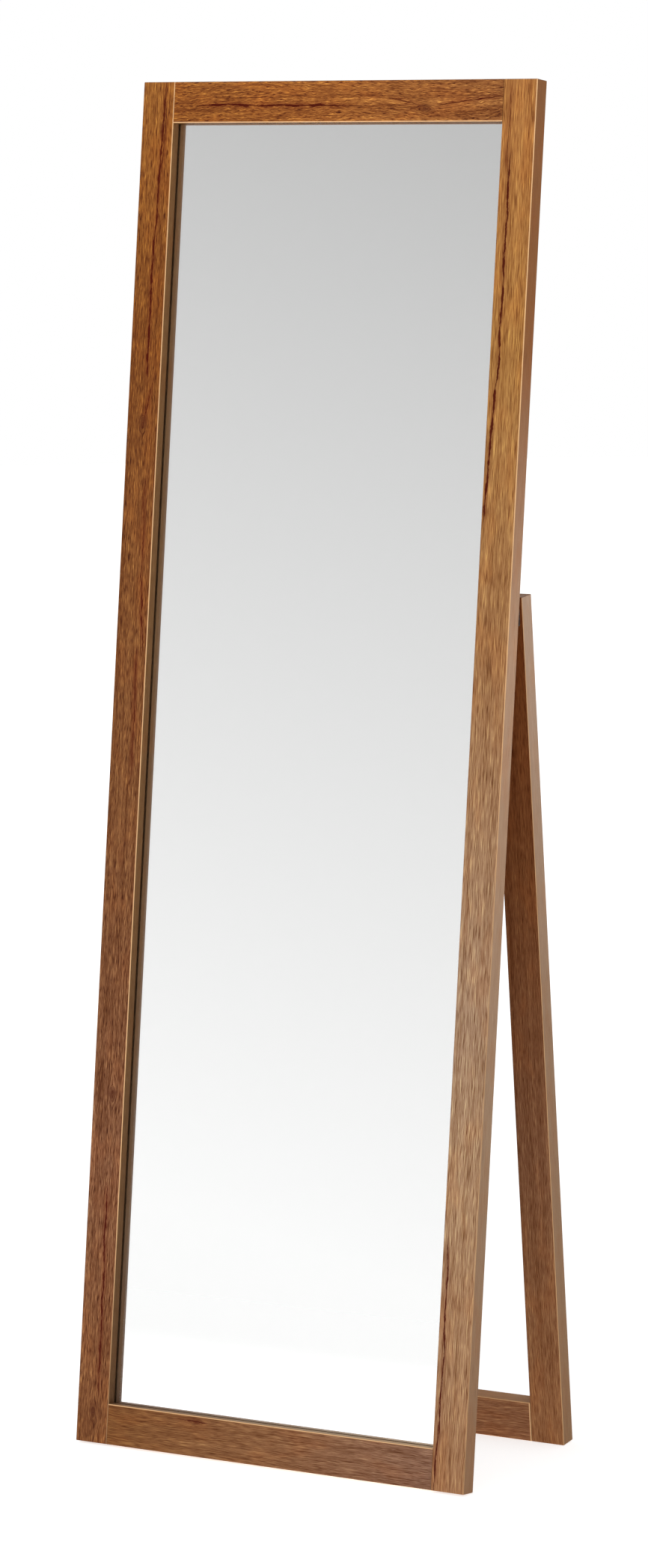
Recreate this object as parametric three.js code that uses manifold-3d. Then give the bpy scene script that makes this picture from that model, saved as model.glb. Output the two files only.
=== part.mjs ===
// A tall floor mirror. A board frame holds the glass and leans back on a second, shorter frame,
// the support, which is hinged to the backs of the stiles and folds flat against them.
// Millimetres. +X is the viewer's right, +Y the back, +Z up; the origin is on the floor, under the middle.
import * as THREE from "three";
import { mergeVertices } from "three/addons/utils/BufferGeometryUtils.js";
import Module from "manifold-3d";

const wasm = await Module();
wasm.setup();

// Driving dimensions.
const WIDTH = 500; // across the frame, and across the support
const FRAME_LENGTH = 1540; // along the leaning frame
const LEG_LENGTH = 974; // along the slanting support
const BOARD = 22; // thickness of every board
const STILE = 41; // width of the stiles and of the legs
const RAIL = 46; // height of the rails
const FRAME_LEAN = THREE.MathUtils.degToRad(7.5);
const SUPPORT_LEAN = THREE.MathUtils.degToRad(5);
const SEAM = 0.2; // between pieces that touch
const FIT = 0.3; // around a piece in its hole

const GLASS = 4;
const PANEL = 3;
const REBATE_WIDTH = 7;
const REBATE_DEPTH = 10;
const EDGE_PLAY = 1; // between the glass or the panel and the rebate's wall

const KNUCKLE_REACH = 2.5; // from the hinge axis to either board
const HINGE_WIDTH = 34;
const LEAF = 1.1;
const LEAF_LENGTH = 30;
const LEAF_SCREW_DROP = 23; // from the hinge axis down to the leaf's screws
const LEAF_SCREW_REACH = 9; // from the leaf's middle to each screw
const KNUCKLE = 5.7; // half the length of the middle knuckle
const PIN_RADIUS = 1.15;

const CLIP = 1; // thickness of a panel clip
const CLIP_WIDTH = 16;
const CLIP_SCREW_REACH = 8; // from the rebate's edge to the clip's screw

const STRAP = 1; // thickness of the strap
const STRAP_WIDTH = 25;
const STRAP_TAB = 20; // flat end under each screw
const STRAP_BEND = 4;
const STRAP_FRAME_DROP = 4; // lower end of the strap above the foot of the frame
const STRAP_SUPPORT_RISE = 44; // upper end of the strap above the foot of the support

const DOWEL_RADIUS = 3.8;
const DOWEL_LENGTH = 35;
const ROUND = 12; // sides of a small round piece

// Screws: head radius, head height, shank radius and length below the head's seat.
const LEAF_SCREW = { head: 3, height: 1.5, shank: 1.5, length: 12, sunk: true };
const CLIP_SCREW = { head: 3.2, height: 1.7, shank: 1.5, length: 11, sunk: false };
const STRAP_SCREW = { head: 4.8, height: 2, shank: 1.75, length: 12, sunk: false };

// Worked out from the driving dimensions.
const HALF = WIDTH / 2;
const INNER = HALF - STILE; // inner face of a stile or leg
const REBATE_EDGE = INNER + REBATE_WIDTH;
const REBATE_FOOT = RAIL - REBATE_WIDTH;
const REBATE_TOP = FRAME_LENGTH - REBATE_FOOT;
const LEG_MIDDLE = HALF - STILE / 2;
const LEG_AXIS = LEG_LENGTH - KNUCKLE_REACH; // hinge axis, along the leg
const STILE_AXIS = alongStile(); // hinge axis, along the stile
const SPREAD = footSpread(); // from the frame's back foot edge to the support's front foot edge
const DEPTH_MIDDLE =
  (SPREAD + BOARD * Math.cos(SUPPORT_LEAN) - BOARD * Math.cos(FRAME_LEAN)) / 2;

// Both frames stand on the floor, so the hinge axis is at one height in both of them.
function alongStile() {
  const axisHeight =
    LEG_AXIS * Math.cos(SUPPORT_LEAN) - KNUCKLE_REACH * Math.sin(SUPPORT_LEAN);
  return (axisHeight + KNUCKLE_REACH * Math.sin(FRAME_LEAN)) / Math.cos(FRAME_LEAN);
}

function footSpread() {
  const frameReach =
    STILE_AXIS * Math.sin(FRAME_LEAN) + KNUCKLE_REACH * Math.cos(FRAME_LEAN);
  const supportReach =
    LEG_AXIS * Math.sin(SUPPORT_LEAN) + KNUCKLE_REACH * Math.cos(SUPPORT_LEAN);
  return frameReach + supportReach;
}

// ---------- solids ----------

// A three.js geometry as a solid, turned about x, y and z, then moved.
function toSolid(geometry, place = [0, 0, 0], turn = [0, 0, 0]) {
  const bare = new THREE.BufferGeometry();
  bare.setAttribute("position", geometry.getAttribute("position"));
  if (geometry.index) bare.setIndex(geometry.index);
  const matrix = new THREE.Matrix4().makeRotationFromEuler(new THREE.Euler(...turn));
  bare.applyMatrix4(matrix.setPosition(...place));
  const merged = mergeVertices(bare, 1e-4);
  const corners = merged.index.array;
  const kept = [];
  for (let i = 0; i < corners.length; i += 3) {
    const [a, b, c] = corners.slice(i, i + 3);
    if (a !== b && b !== c && c !== a) kept.push(a, b, c);
  }
  return new wasm.Manifold(
    new wasm.Mesh({
      numProp: 3,
      vertProperties: merged.getAttribute("position").array,
      triVerts: new Uint32Array(kept),
    }),
  );
}

// A box from its low corner to its high corner.
function block(low, high) {
  const size = high.map((value, axis) => value - low[axis]);
  const middle = high.map((value, axis) => (value + low[axis]) / 2);
  return toSolid(new THREE.BoxGeometry(...size), middle);
}

// A solid of revolution about the y axis, from [radius, y] points that run upwards.
function turned(outline, place, turn, sides = ROUND) {
  const points = outline.map(([radius, y]) => new THREE.Vector2(radius, y));
  return toSolid(new THREE.LatheGeometry(points, sides), place, turn);
}

// A round bar along x between two places.
function barAlongX(radius, from, to, y, z, sides = ROUND) {
  const outline = [[0, from], [radius, from], [radius, to], [0, to]];
  return turned(outline, [0, y, z], [0, 0, -Math.PI / 2], sides);
}

function cut(body, cutters) {
  return cutters.reduce((rest, cutter) => rest.subtract(cutter), body);
}

function toMesh(name, body, material) {
  const data = body.getMesh();
  const geometry = new THREE.BufferGeometry();
  geometry.setAttribute("position", new THREE.BufferAttribute(data.vertProperties, 3));
  geometry.setIndex(new THREE.BufferAttribute(data.triVerts, 1));
  geometry.computeVertexNormals();
  const mesh = new THREE.Mesh(geometry, material);
  mesh.name = name;
  return mesh;
}

// ---------- materials ----------

const wildOak = new THREE.MeshStandardMaterial({ color: 0x9a6a40, roughness: 0.6, metalness: 0 });
const beech = new THREE.MeshStandardMaterial({ color: 0xd0ab7c, roughness: 0.75, metalness: 0 });
const silvered = new THREE.MeshStandardMaterial({ color: 0xe8ecec, roughness: 0.03, metalness: 1 });
const hardboard = new THREE.MeshStandardMaterial({ color: 0x6b4a30, roughness: 0.85, metalness: 0 });
const zinc = new THREE.MeshStandardMaterial({ color: 0xb4b6b8, roughness: 0.35, metalness: 1 });
const webbing = new THREE.MeshStandardMaterial({ color: 0x2c2a28, roughness: 0.95, metalness: 0 });

// ---------- screws and dowels ----------

// A screw's outline, its head's top at y = 0. With play it is the hole that the screw sits in.
function screwOutline(screw, play = 0) {
  const seat = -screw.height;
  const tip = seat - screw.length - play;
  const shank = screw.shank + play;
  const head = screw.head + play;
  const point = [[0, tip], [shank, tip + (play ? 0 : screw.shank)]];
  if (screw.sunk) return [...point, [shank, seat], [head, 0], [0, 0]];
  const crown = head - 0.6;
  return [...point, [shank, seat], [head, seat], [head, -0.7], [crown, 0], [0, 0]];
}

// A cross-head screw whose head faces +y, or -y when it is turned over.
function screw(kind, place, over = false) {
  const turn = over ? [Math.PI, 0, 0] : [0, 0, 0];
  const side = over ? -1 : 1;
  const body = turned(screwOutline(kind), place, turn);
  const reach = kind.head * 0.55;
  const [x, y, z] = place;
  const slots = [
    [reach, 0.4],
    [0.4, reach],
  ].map(([a, b]) => {
    const faces = [y - 0.9 * side, y + 0.5 * side].sort((p, q) => p - q);
    return block([x - a, faces[0], z - b], [x + a, faces[1], z + b]);
  });
  return cut(body, slots);
}

// The hole for a screw's shank and, where it is countersunk, for its head.
function screwHole(kind, place, over = false) {
  const turn = over ? [Math.PI, 0, 0] : [0, 0, 0];
  if (kind.sunk) return turned(screwOutline(kind, FIT), place, turn);
  const depth = kind.height + kind.length + FIT;
  const radius = kind.shank + FIT;
  return turned([[0, -depth], [radius, -depth], [radius, 1], [0, 1]], place, turn);
}

// Dowels cross the joint between a stile or leg and a rail.
function dowel(side, y, z) {
  const half = DOWEL_LENGTH / 2;
  const outline = [
    [0, -half],
    [DOWEL_RADIUS - 0.9, -half],
    [DOWEL_RADIUS, 1 - half],
    [DOWEL_RADIUS, half - 1],
    [DOWEL_RADIUS - 0.9, half],
    [0, half],
  ];
  return turned(outline, [side * INNER, y, z], [0, 0, -Math.PI / 2]);
}

function dowelHole(side, y, z) {
  const half = DOWEL_LENGTH / 2 + FIT;
  const middle = side * INNER;
  return barAlongX(DOWEL_RADIUS + FIT, middle - half, middle + half, y, z);
}

// ---------- where things go ----------

const SIDES = [["left", -1], ["right", 1]];

// Heights of the dowels in a frame of the given length, clear of any rebate in the rails.
function dowelHeights(length) {
  return [
    ["bottom", "lower", 11],
    ["bottom", "upper", 31],
    ["top", "lower", length - 31],
    ["top", "upper", length - 11],
  ];
}

// Panel clips: place on the rebate's edge, and the turn that points the clip outwards.
const clipPlaces = [
  ...SIDES.flatMap(([name, side]) =>
    [["lower", 330], ["upper", 1210]].map(([level, z]) => ({
      name: `${name}_${level}`,
      place: [side * REBATE_EDGE, z],
      turn: side > 0 ? 0 : Math.PI,
    })),
  ),
  ...SIDES.map(([name, side]) => ({
    name: `top_${name}`,
    place: [side * 125, REBATE_TOP],
    turn: -Math.PI / 2,
  })),
  ...SIDES.map(([name, side]) => ({
    name: `bottom_${name}`,
    place: [side * 125, REBATE_FOOT],
    turn: Math.PI / 2,
  })),
];

function clipScrewPlace({ place, turn }) {
  const x = place[0] + CLIP_SCREW_REACH * Math.cos(turn);
  const z = place[1] - CLIP_SCREW_REACH * Math.sin(turn);
  return [x, SEAM + CLIP + SEAM + CLIP_SCREW.height, z];
}

const leafScrewOffsets = [["inner", -LEAF_SCREW_REACH], ["outer", LEAF_SCREW_REACH]];

// The leaf's outer face is a seam away from the board, and the screw heads are flush with its inner face.
const LEAF_FACE = SEAM + LEAF;

// Places of the hinge screws on one side: on the back of the stile, or on the front of the leg.
function leafScrewPlaces(side, faceY, axisZ) {
  return leafScrewOffsets.map(([name, offset]) => ({
    name,
    place: [side * (LEG_MIDDLE + offset), faceY, axisZ - LEAF_SCREW_DROP],
  }));
}

const strapScrewOnFrame = [0, SEAM + STRAP + SEAM + STRAP_SCREW.height, STRAP_FRAME_DROP + 9];
const strapScrewOnSupport = [0, -strapScrewOnFrame[1], STRAP_SUPPORT_RISE - 9];

// ---------- mirror frame: back face at y = 0, foot at z = 0 ----------

function stile(side) {
  const xs = [side * (INNER + SEAM / 2), side * HALF].sort((a, b) => a - b);
  const rebate = [side * (INNER - 1), side * REBATE_EDGE].sort((a, b) => a - b);
  const board = block([xs[0], -BOARD, 0], [xs[1], 0, FRAME_LENGTH]);
  const holes = [
    block([rebate[0], -REBATE_DEPTH, REBATE_FOOT], [rebate[1], 1, REBATE_TOP]),
    ...dowelHeights(FRAME_LENGTH).map(([, , z]) => dowelHole(side, -BOARD / 2, z)),
    ...leafScrewPlaces(side, LEAF_FACE, STILE_AXIS).map(({ place }) =>
      screwHole(LEAF_SCREW, place),
    ),
    ...clipPlaces
      .filter(({ place }) => place[0] === side * REBATE_EDGE)
      .map((spot) => screwHole(CLIP_SCREW, clipScrewPlace(spot))),
  ];
  return cut(board, holes);
}

function frameRail(foot, level) {
  const reach = INNER - SEAM / 2;
  const rebateZ = level === "top" ? foot : foot + REBATE_FOOT;
  const edge = level === "top" ? REBATE_TOP : REBATE_FOOT;
  const board = block([-reach, -BOARD, foot], [reach, 0, foot + RAIL]);
  const holes = [
    block([-INNER, -REBATE_DEPTH, rebateZ - 1], [INNER, 1, rebateZ + REBATE_WIDTH + 1]),
    ...SIDES.flatMap(([, side]) =>
      dowelHeights(FRAME_LENGTH)
        .filter(([place]) => place === level)
        .map(([, , z]) => dowelHole(side, -BOARD / 2, z)),
    ),
    ...clipPlaces
      .filter(({ place }) => place[1] === edge)
      .map((spot) => screwHole(CLIP_SCREW, clipScrewPlace(spot))),
  ];
  if (level === "bottom") holes.push(screwHole(STRAP_SCREW, strapScrewOnFrame));
  return cut(board, holes);
}

// The glass and the panel behind it lie in the rebate.
function inRebate(frontY, thickness) {
  const reach = REBATE_EDGE - EDGE_PLAY;
  return block(
    [-reach, frontY, REBATE_FOOT + EDGE_PLAY],
    [reach, frontY + thickness, REBATE_TOP - EDGE_PLAY],
  );
}

const GLASS_FRONT = SEAM - REBATE_DEPTH;
const PANEL_FRONT = GLASS_FRONT + GLASS + SEAM;
const PANEL_BACK = PANEL_FRONT + PANEL;

// A stepped clip: one end on the frame's back, the other on the panel.
function panelClip({ place, turn }) {
  const low = PANEL_BACK + SEAM;
  const corners = [
    [15, SEAM],
    [15, SEAM + CLIP],
    [-1.4, SEAM + CLIP],
    [-1.4, low + CLIP],
    [-10, low + CLIP],
    [-10, low],
    [-0.4, low],
    [-0.4, SEAM],
  ];
  const shape = new THREE.Shape(corners.map(([x, y]) => new THREE.Vector2(x, y)));
  const plate = new THREE.ExtrudeGeometry(shape, { depth: CLIP_WIDTH, bevelEnabled: false });
  plate.translate(0, 0, -CLIP_WIDTH / 2);
  const spot = [place[0], 0, place[1]];
  const [x, , z] = clipScrewPlace({ place, turn });
  const hole = turned([[0, -1], [2, -1], [2, 3], [0, 3]], [x, 0, z]);
  return toSolid(plate, spot, [0, turn, 0]).subtract(hole);
}

// ---------- support: front face at y = 0, foot at z = 0 ----------

function leg(side) {
  const xs = [side * (INNER + SEAM / 2), side * HALF].sort((a, b) => a - b);
  const board = block([xs[0], 0, 0], [xs[1], BOARD, LEG_LENGTH]);
  const holes = [
    ...dowelHeights(LEG_LENGTH).map(([, , z]) => dowelHole(side, BOARD / 2, z)),
    ...leafScrewPlaces(side, -LEAF_FACE, LEG_AXIS).map(({ place }) =>
      screwHole(LEAF_SCREW, place, true),
    ),
  ];
  return cut(board, holes);
}

function supportRail(foot, level) {
  const reach = INNER - SEAM / 2;
  const board = block([-reach, 0, foot], [reach, BOARD, foot + RAIL]);
  const holes = SIDES.flatMap(([, side]) =>
    dowelHeights(LEG_LENGTH)
      .filter(([place]) => place === level)
      .map(([, , z]) => dowelHole(side, BOARD / 2, z)),
  );
  if (level === "bottom") holes.push(screwHole(STRAP_SCREW, strapScrewOnSupport, true));
  return cut(board, holes);
}

// ---------- hinge: its axis along x through the origin ----------

const BARREL = KNUCKLE_REACH - SEAM; // outer radius of the knuckles
const BORE = PIN_RADIUS + 0.25;

// A leaf hangs down from the axis on the given side of it: -1 for the frame, 1 for the support.
function hingeLeaf(side, knuckles, gaps) {
  const faces = [side * (BARREL - LEAF), side * BARREL].sort((a, b) => a - b);
  const half = HINGE_WIDTH / 2;
  const plate = block([-half, faces[0], -LEAF_LENGTH], [half, faces[1], 0]);
  const open = cut(
    plate,
    gaps.map(([from, to]) => barAlongX(BARREL + 0.4, from, to, 0, 0)),
  );
  const barrels = knuckles.map(([from, to]) => barAlongX(BARREL, from, to, 0, 0));
  const whole = barrels.reduce((body, barrel) => body.add(barrel), open);
  const screwY = side * (BARREL - LEAF);
  const holes = leafScrewOffsets.map(([, offset]) =>
    screwHole(LEAF_SCREW, [offset, screwY, -LEAF_SCREW_DROP], side > 0),
  );
  return cut(whole, [barAlongX(BORE, -half - 1, half + 1, 0, 0), ...holes]);
}

function frameLeaf() {
  const half = HINGE_WIDTH / 2;
  const inner = KNUCKLE + SEAM;
  const ends = [[-half, -inner], [inner, half]];
  return hingeLeaf(-1, ends, [[-inner, inner]]);
}

function supportLeaf() {
  const half = HINGE_WIDTH / 2;
  const ends = [[-half - 1, -KNUCKLE], [KNUCKLE, half + 1]];
  return hingeLeaf(1, [[-KNUCKLE, KNUCKLE]], ends);
}

function hingePin() {
  const half = HINGE_WIDTH / 2 + SEAM;
  const rim = PIN_RADIUS + 0.8;
  const outline = [
    [0, -half - 0.8],
    [rim, -half - 0.6],
    [rim, -half],
    [PIN_RADIUS, -half],
    [PIN_RADIUS, half],
    [rim, half],
    [rim, half + 0.6],
    [0, half + 0.8],
  ];
  return turned(outline, [0, 0, 0], [0, 0, -Math.PI / 2]);
}

// ---------- strap, in the plane across the two rails ----------

// A point given in a leaning frame's own y and z, as [y, z] on the floor's axes.
function onFrame(y, z) {
  const point = new THREE.Vector2(y, z);
  return point.rotateAround(new THREE.Vector2(), -FRAME_LEAN);
}

function onSupport(y, z) {
  const point = new THREE.Vector2(y, z);
  return point.rotateAround(new THREE.Vector2(), SUPPORT_LEAN).add(new THREE.Vector2(SPREAD, 0));
}

// The strap's middle line: flat on the frame, across, and flat on the support.
function strapLine() {
  const off = SEAM + STRAP / 2;
  const foot = STRAP_FRAME_DROP;
  const rise = STRAP_SUPPORT_RISE;
  const frameCorner = onFrame(off, foot + STRAP_TAB);
  const supportCorner = onSupport(-off, rise - STRAP_TAB);
  const across = supportCorner.clone().sub(frameCorner).setLength(STRAP_BEND);
  const bends = [
    new THREE.QuadraticBezierCurve(
      onFrame(off, foot + STRAP_TAB - STRAP_BEND),
      frameCorner,
      frameCorner.clone().add(across),
    ),
    new THREE.QuadraticBezierCurve(
      supportCorner.clone().sub(across),
      supportCorner,
      onSupport(-off, rise - STRAP_TAB + STRAP_BEND),
    ),
  ];
  return [
    onFrame(off, foot),
    ...bends[0].getPoints(4),
    ...bends[1].getPoints(4),
    onSupport(-off, rise),
  ];
}

// The line's two faces, half a thickness to each side of it.
function strapOutline() {
  const line = strapLine();
  const normals = line.map((point, i) => {
    const before = line[Math.max(i - 1, 0)];
    const after = line[Math.min(i + 1, line.length - 1)];
    const along = after.clone().sub(before).normalize();
    return new THREE.Vector2(-along.y, along.x);
  });
  const face = (side) =>
    line.map((point, i) => point.clone().addScaledVector(normals[i], (side * STRAP) / 2));
  return [...face(-1), ...face(1).reverse()];
}

function limitStrap() {
  const shape = new THREE.Shape(strapOutline());
  const band = new THREE.ExtrudeGeometry(shape, { depth: STRAP_WIDTH, bevelEnabled: false });
  band.translate(0, 0, -STRAP_WIDTH / 2);
  // The outline's plane is turned from x-y to y-z: x to y, y to z, and the extrusion to x.
  band.applyMatrix4(new THREE.Matrix4().set(0, 0, 1, 0, 1, 0, 0, 0, 0, 1, 0, 0, 0, 0, 0, 1));
  const hole = (point, lean) => {
    const outline = [[0, -3], [2.2, -3], [2.2, 3], [0, 3]];
    return turned(outline, [0, point.x, point.y], [lean, 0, 0]);
  };
  const onRail = onFrame(0, strapScrewOnFrame[2]);
  const onBackRail = onSupport(0, strapScrewOnSupport[2]);
  return cut(toSolid(band), [hole(onRail, -FRAME_LEAN), hole(onBackRail, SUPPORT_LEAN)]);
}

// ---------- assembly ----------

function addBoards(frame, support) {
  for (const [name, side] of SIDES) {
    frame.add(toMesh(`${name}_stile`, stile(side), wildOak));
    support.add(toMesh(`support_${name}_leg`, leg(side), wildOak));
  }
  for (const [level, frameFoot, supportFoot] of [
    ["bottom", 0, 0],
    ["top", FRAME_LENGTH - RAIL, LEG_LENGTH - RAIL],
  ]) {
    frame.add(toMesh(`${level}_rail`, frameRail(frameFoot, level), wildOak));
    support.add(toMesh(`support_${level}_rail`, supportRail(supportFoot, level), wildOak));
  }
}

function addDowels(group, prefix, length, y) {
  for (const [name, side] of SIDES) {
    for (const [level, place, z] of dowelHeights(length)) {
      group.add(toMesh(`${prefix}_dowel_${level}_${name}_${place}`, dowel(side, y, z), beech));
    }
  }
}

function addGlassAndPanel(frame) {
  frame.add(toMesh("mirror_glass", inRebate(GLASS_FRONT, GLASS), silvered));
  frame.add(toMesh("back_panel", inRebate(PANEL_FRONT, PANEL), hardboard));
  for (const spot of clipPlaces) {
    frame.add(toMesh(`panel_clip_${spot.name}`, panelClip(spot), zinc));
    frame.add(toMesh(`clip_screw_${spot.name}`, screw(CLIP_SCREW, clipScrewPlace(spot)), zinc));
  }
}

function addHinge(frame, support, name, side) {
  const stileLeaf = toMesh(`hinge_${name}_frame_leaf`, frameLeaf(), zinc);
  const pin = toMesh(`hinge_${name}_pin`, hingePin(), zinc);
  for (const mesh of [stileLeaf, pin]) {
    mesh.position.set(side * LEG_MIDDLE, KNUCKLE_REACH, STILE_AXIS);
    frame.add(mesh);
  }
  const legLeaf = toMesh(`hinge_${name}_support_leaf`, supportLeaf(), zinc);
  legLeaf.position.set(side * LEG_MIDDLE, -KNUCKLE_REACH, LEG_AXIS);
  support.add(legLeaf);
  for (const spot of leafScrewPlaces(side, LEAF_FACE, STILE_AXIS)) {
    const body = screw(LEAF_SCREW, spot.place);
    frame.add(toMesh(`hinge_${name}_frame_screw_${spot.name}`, body, zinc));
  }
  for (const spot of leafScrewPlaces(side, -LEAF_FACE, LEG_AXIS)) {
    const body = screw(LEAF_SCREW, spot.place, true);
    support.add(toMesh(`hinge_${name}_support_screw_${spot.name}`, body, zinc));
  }
}

const mirrorFrame = new THREE.Group();
mirrorFrame.rotation.x = -FRAME_LEAN;
const support = new THREE.Group();
support.rotation.x = SUPPORT_LEAN;
support.position.y = SPREAD;

addBoards(mirrorFrame, support);
addDowels(mirrorFrame, "frame", FRAME_LENGTH, -BOARD / 2);
addDowels(support, "support", LEG_LENGTH, BOARD / 2);
addGlassAndPanel(mirrorFrame);
for (const [name, side] of SIDES) addHinge(mirrorFrame, support, name, side);
mirrorFrame.add(toMesh("strap_screw_frame", screw(STRAP_SCREW, strapScrewOnFrame), zinc));
support.add(toMesh("strap_screw_support", screw(STRAP_SCREW, strapScrewOnSupport, true), zinc));

const floorMirror = new THREE.Group();
floorMirror.add(mirrorFrame, support, toMesh("limit_strap", limitStrap(), webbing));
floorMirror.position.y = -DEPTH_MIDDLE;

export default floorMirror;
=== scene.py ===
"""Looks of the floor mirror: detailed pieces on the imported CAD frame, materials, light and camera.

Pieces are built in millimetres in the frame of the leaning part they belong to, then placed in the
row frame. In the mirror frame's own frame the back face is y = 0, in the support's own frame the
front face is y = 0, and the foot is z = 0 in both.
"""

import math
from dataclasses import dataclass

import bmesh
import bpy
from mathutils import Matrix, Vector


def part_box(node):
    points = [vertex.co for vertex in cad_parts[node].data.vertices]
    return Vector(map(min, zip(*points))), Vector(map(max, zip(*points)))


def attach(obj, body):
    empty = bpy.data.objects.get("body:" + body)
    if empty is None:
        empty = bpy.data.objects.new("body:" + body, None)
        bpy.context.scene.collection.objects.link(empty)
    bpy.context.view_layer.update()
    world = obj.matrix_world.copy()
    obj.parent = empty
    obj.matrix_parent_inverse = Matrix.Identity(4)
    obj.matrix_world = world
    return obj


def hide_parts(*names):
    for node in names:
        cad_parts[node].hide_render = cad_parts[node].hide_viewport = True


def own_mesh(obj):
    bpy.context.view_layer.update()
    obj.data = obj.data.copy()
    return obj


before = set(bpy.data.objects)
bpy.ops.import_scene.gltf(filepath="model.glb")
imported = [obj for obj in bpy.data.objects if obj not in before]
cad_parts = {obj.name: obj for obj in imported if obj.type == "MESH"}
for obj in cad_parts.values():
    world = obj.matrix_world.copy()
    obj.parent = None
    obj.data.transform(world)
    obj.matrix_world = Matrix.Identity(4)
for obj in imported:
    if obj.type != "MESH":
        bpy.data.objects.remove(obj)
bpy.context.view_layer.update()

MM = 0.001
FRAME_LEAN = math.radians(7.5)
SUPPORT_LEAN = math.radians(5)

# Millimetres, as in the CAD part.
HALF = 250
STILE = 41
RAIL = 46
BOARD = 22
FRAME_LENGTH = 1540
LEG_LENGTH = 974
SEAM = 0.2
INNER = HALF - STILE
RAIL_END = INNER - SEAM / 2
REBATE_WIDTH = 7
REBATE_DEPTH = 10
REBATE_EDGE = INNER + REBATE_WIDTH
REBATE_FOOT = RAIL - REBATE_WIDTH
REBATE_TOP = FRAME_LENGTH - REBATE_FOOT
EDGE_PLAY = 1
ARRIS = 0.8  # radius of the boards' long edges
SIDES = (("left", -1), ("right", 1))
X, Y, Z = 0, 1, 2
FIT = 0.3  # play round dowels and screws in their holes


# ---------- places ----------


def leaning(angle, y):
    """Millimetres in a leaning frame to metres in the row frame."""
    return Matrix.Translation((0, y, 0)) @ Matrix.Rotation(angle, 4, "X") @ Matrix.Scale(MM, 4)


def frame_foot_y():
    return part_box("left_stile")[0].y + BOARD * MM * math.cos(FRAME_LEAN)


def support_foot_y():
    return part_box("support_left_leg")[1].y - BOARD * MM * math.cos(SUPPORT_LEAN)


ON_FRAME = leaning(-FRAME_LEAN, frame_foot_y())
ON_SUPPORT = leaning(SUPPORT_LEAN, support_foot_y())

# Each leaning part: its frame, and the body its pieces ride on.
FRAME = (ON_FRAME, "mirror_frame")
SUPPORT = (ON_SUPPORT, "support")


# ---------- node trees ----------


class Nodes:
    """A node tree, written as short calls that return sockets."""

    def __init__(self, owner):
        owner.use_nodes = True
        self.tree = owner.node_tree

    def node(self, kind, inputs=(), **settings):
        made = self.tree.nodes.new(kind)
        for key, value in settings.items():
            setattr(made, key, value)
        for key, value in dict(inputs).items():
            self.feed(made.inputs[key], value)
        return made

    def feed(self, socket, value):
        if isinstance(value, bpy.types.NodeSocket):
            self.tree.links.new(value, socket)
        else:
            socket.default_value = value

    def math(self, operation, a, b=0.0):
        return self.node("ShaderNodeMath", {0: a, 1: b}, operation=operation).outputs[0]

    def add(self, a, b):
        return self.math("ADD", a, b)

    def sub(self, a, b):
        return self.math("SUBTRACT", a, b)

    def mul(self, a, b):
        return self.math("MULTIPLY", a, b)

    def total(self, first, *others):
        for other in others:
            first = self.add(first, other)
        return first

    def swing(self, noise, size):
        """A noise of 0 to 1 as a swing about zero."""
        return self.mul(self.sub(noise, 0.5), size)

    def away(self, value, middle):
        return self.math("ABSOLUTE", self.sub(value, middle))

    def most(self, a, b):
        return self.math("MAXIMUM", a, b)

    def squares(self, a, b):
        return self.add(self.mul(a, a), self.mul(b, b))

    def vector(self, x, y, z):
        return self.node("ShaderNodeCombineXYZ", {"X": x, "Y": y, "Z": z}).outputs[0]

    def scaled(self, place, *scales):
        return self.vector(*(self.mul(part, scale) for part, scale in zip(place, scales)))

    def noise(self, vector, detail=2.0, roughness=0.5, scale=1.0):
        inputs = {"Vector": vector, "Scale": scale, "Detail": detail, "Roughness": roughness}
        return self.node("ShaderNodeTexNoise", inputs).outputs[0]

    def streaks(self, along, across, length, width, seed, detail=2.0, roughness=0.5):
        """Noise in streaks of about the given length and width."""
        where = self.vector(self.mul(along, 1 / length), self.mul(across, 1 / width), seed)
        return self.noise(where, detail, roughness)

    def span(self, value, low, high, to_low=0.0, to_high=1.0, kind="SMOOTHSTEP"):
        """value from low..high to to_low..to_high, held at both ends."""
        ends = {"From Min": low, "From Max": high, "To Min": to_low, "To Max": to_high}
        inputs = {"Value": value, **ends}
        return self.node("ShaderNodeMapRange", inputs, interpolation_type=kind).outputs[0]

    def mix(self, share, a, b, blend="MIX"):
        inputs = {0: share, 6: a, 7: b}  # a mix node's sockets for colours are 6, 7 and, out, 2
        return self.node("ShaderNodeMix", inputs, data_type="RGBA", blend_type=blend).outputs[2]

    def ramp(self, value, stops):
        made = self.node("ShaderNodeValToRGB", {"Fac": value})
        points = made.color_ramp.elements
        while len(points) < len(stops):
            points.new(0.5)
        for point, (place, shade) in zip(points, stops):
            point.position = place
            point.color = shade
        return made.outputs[0]

    def place(self, name):
        """The x, y and z of a point attribute of the mesh."""
        made = self.node("ShaderNodeAttribute", attribute_name=name, attribute_type="GEOMETRY")
        return self.node("ShaderNodeSeparateXYZ", {"Vector": made.outputs["Vector"]}).outputs

    def amount(self, name):
        return self.node("ShaderNodeAttribute", attribute_name=name).outputs["Fac"]


class Shader(Nodes):
    """The node tree of a new material with one Principled surface."""

    def __init__(self, name):
        self.material = bpy.data.materials.new(name)
        super().__init__(self.material)
        self.surface = self.tree.nodes["Principled BSDF"]

    def set(self, **values):
        for key, value in values.items():
            self.feed(self.surface.inputs[key.replace("_", " ")], value)

    def bump(self, height, distance, strength=1.0):
        inputs = {"Height": height, "Distance": distance, "Strength": strength}
        self.set(Normal=self.node("ShaderNodeBump", inputs).outputs[0])


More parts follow.
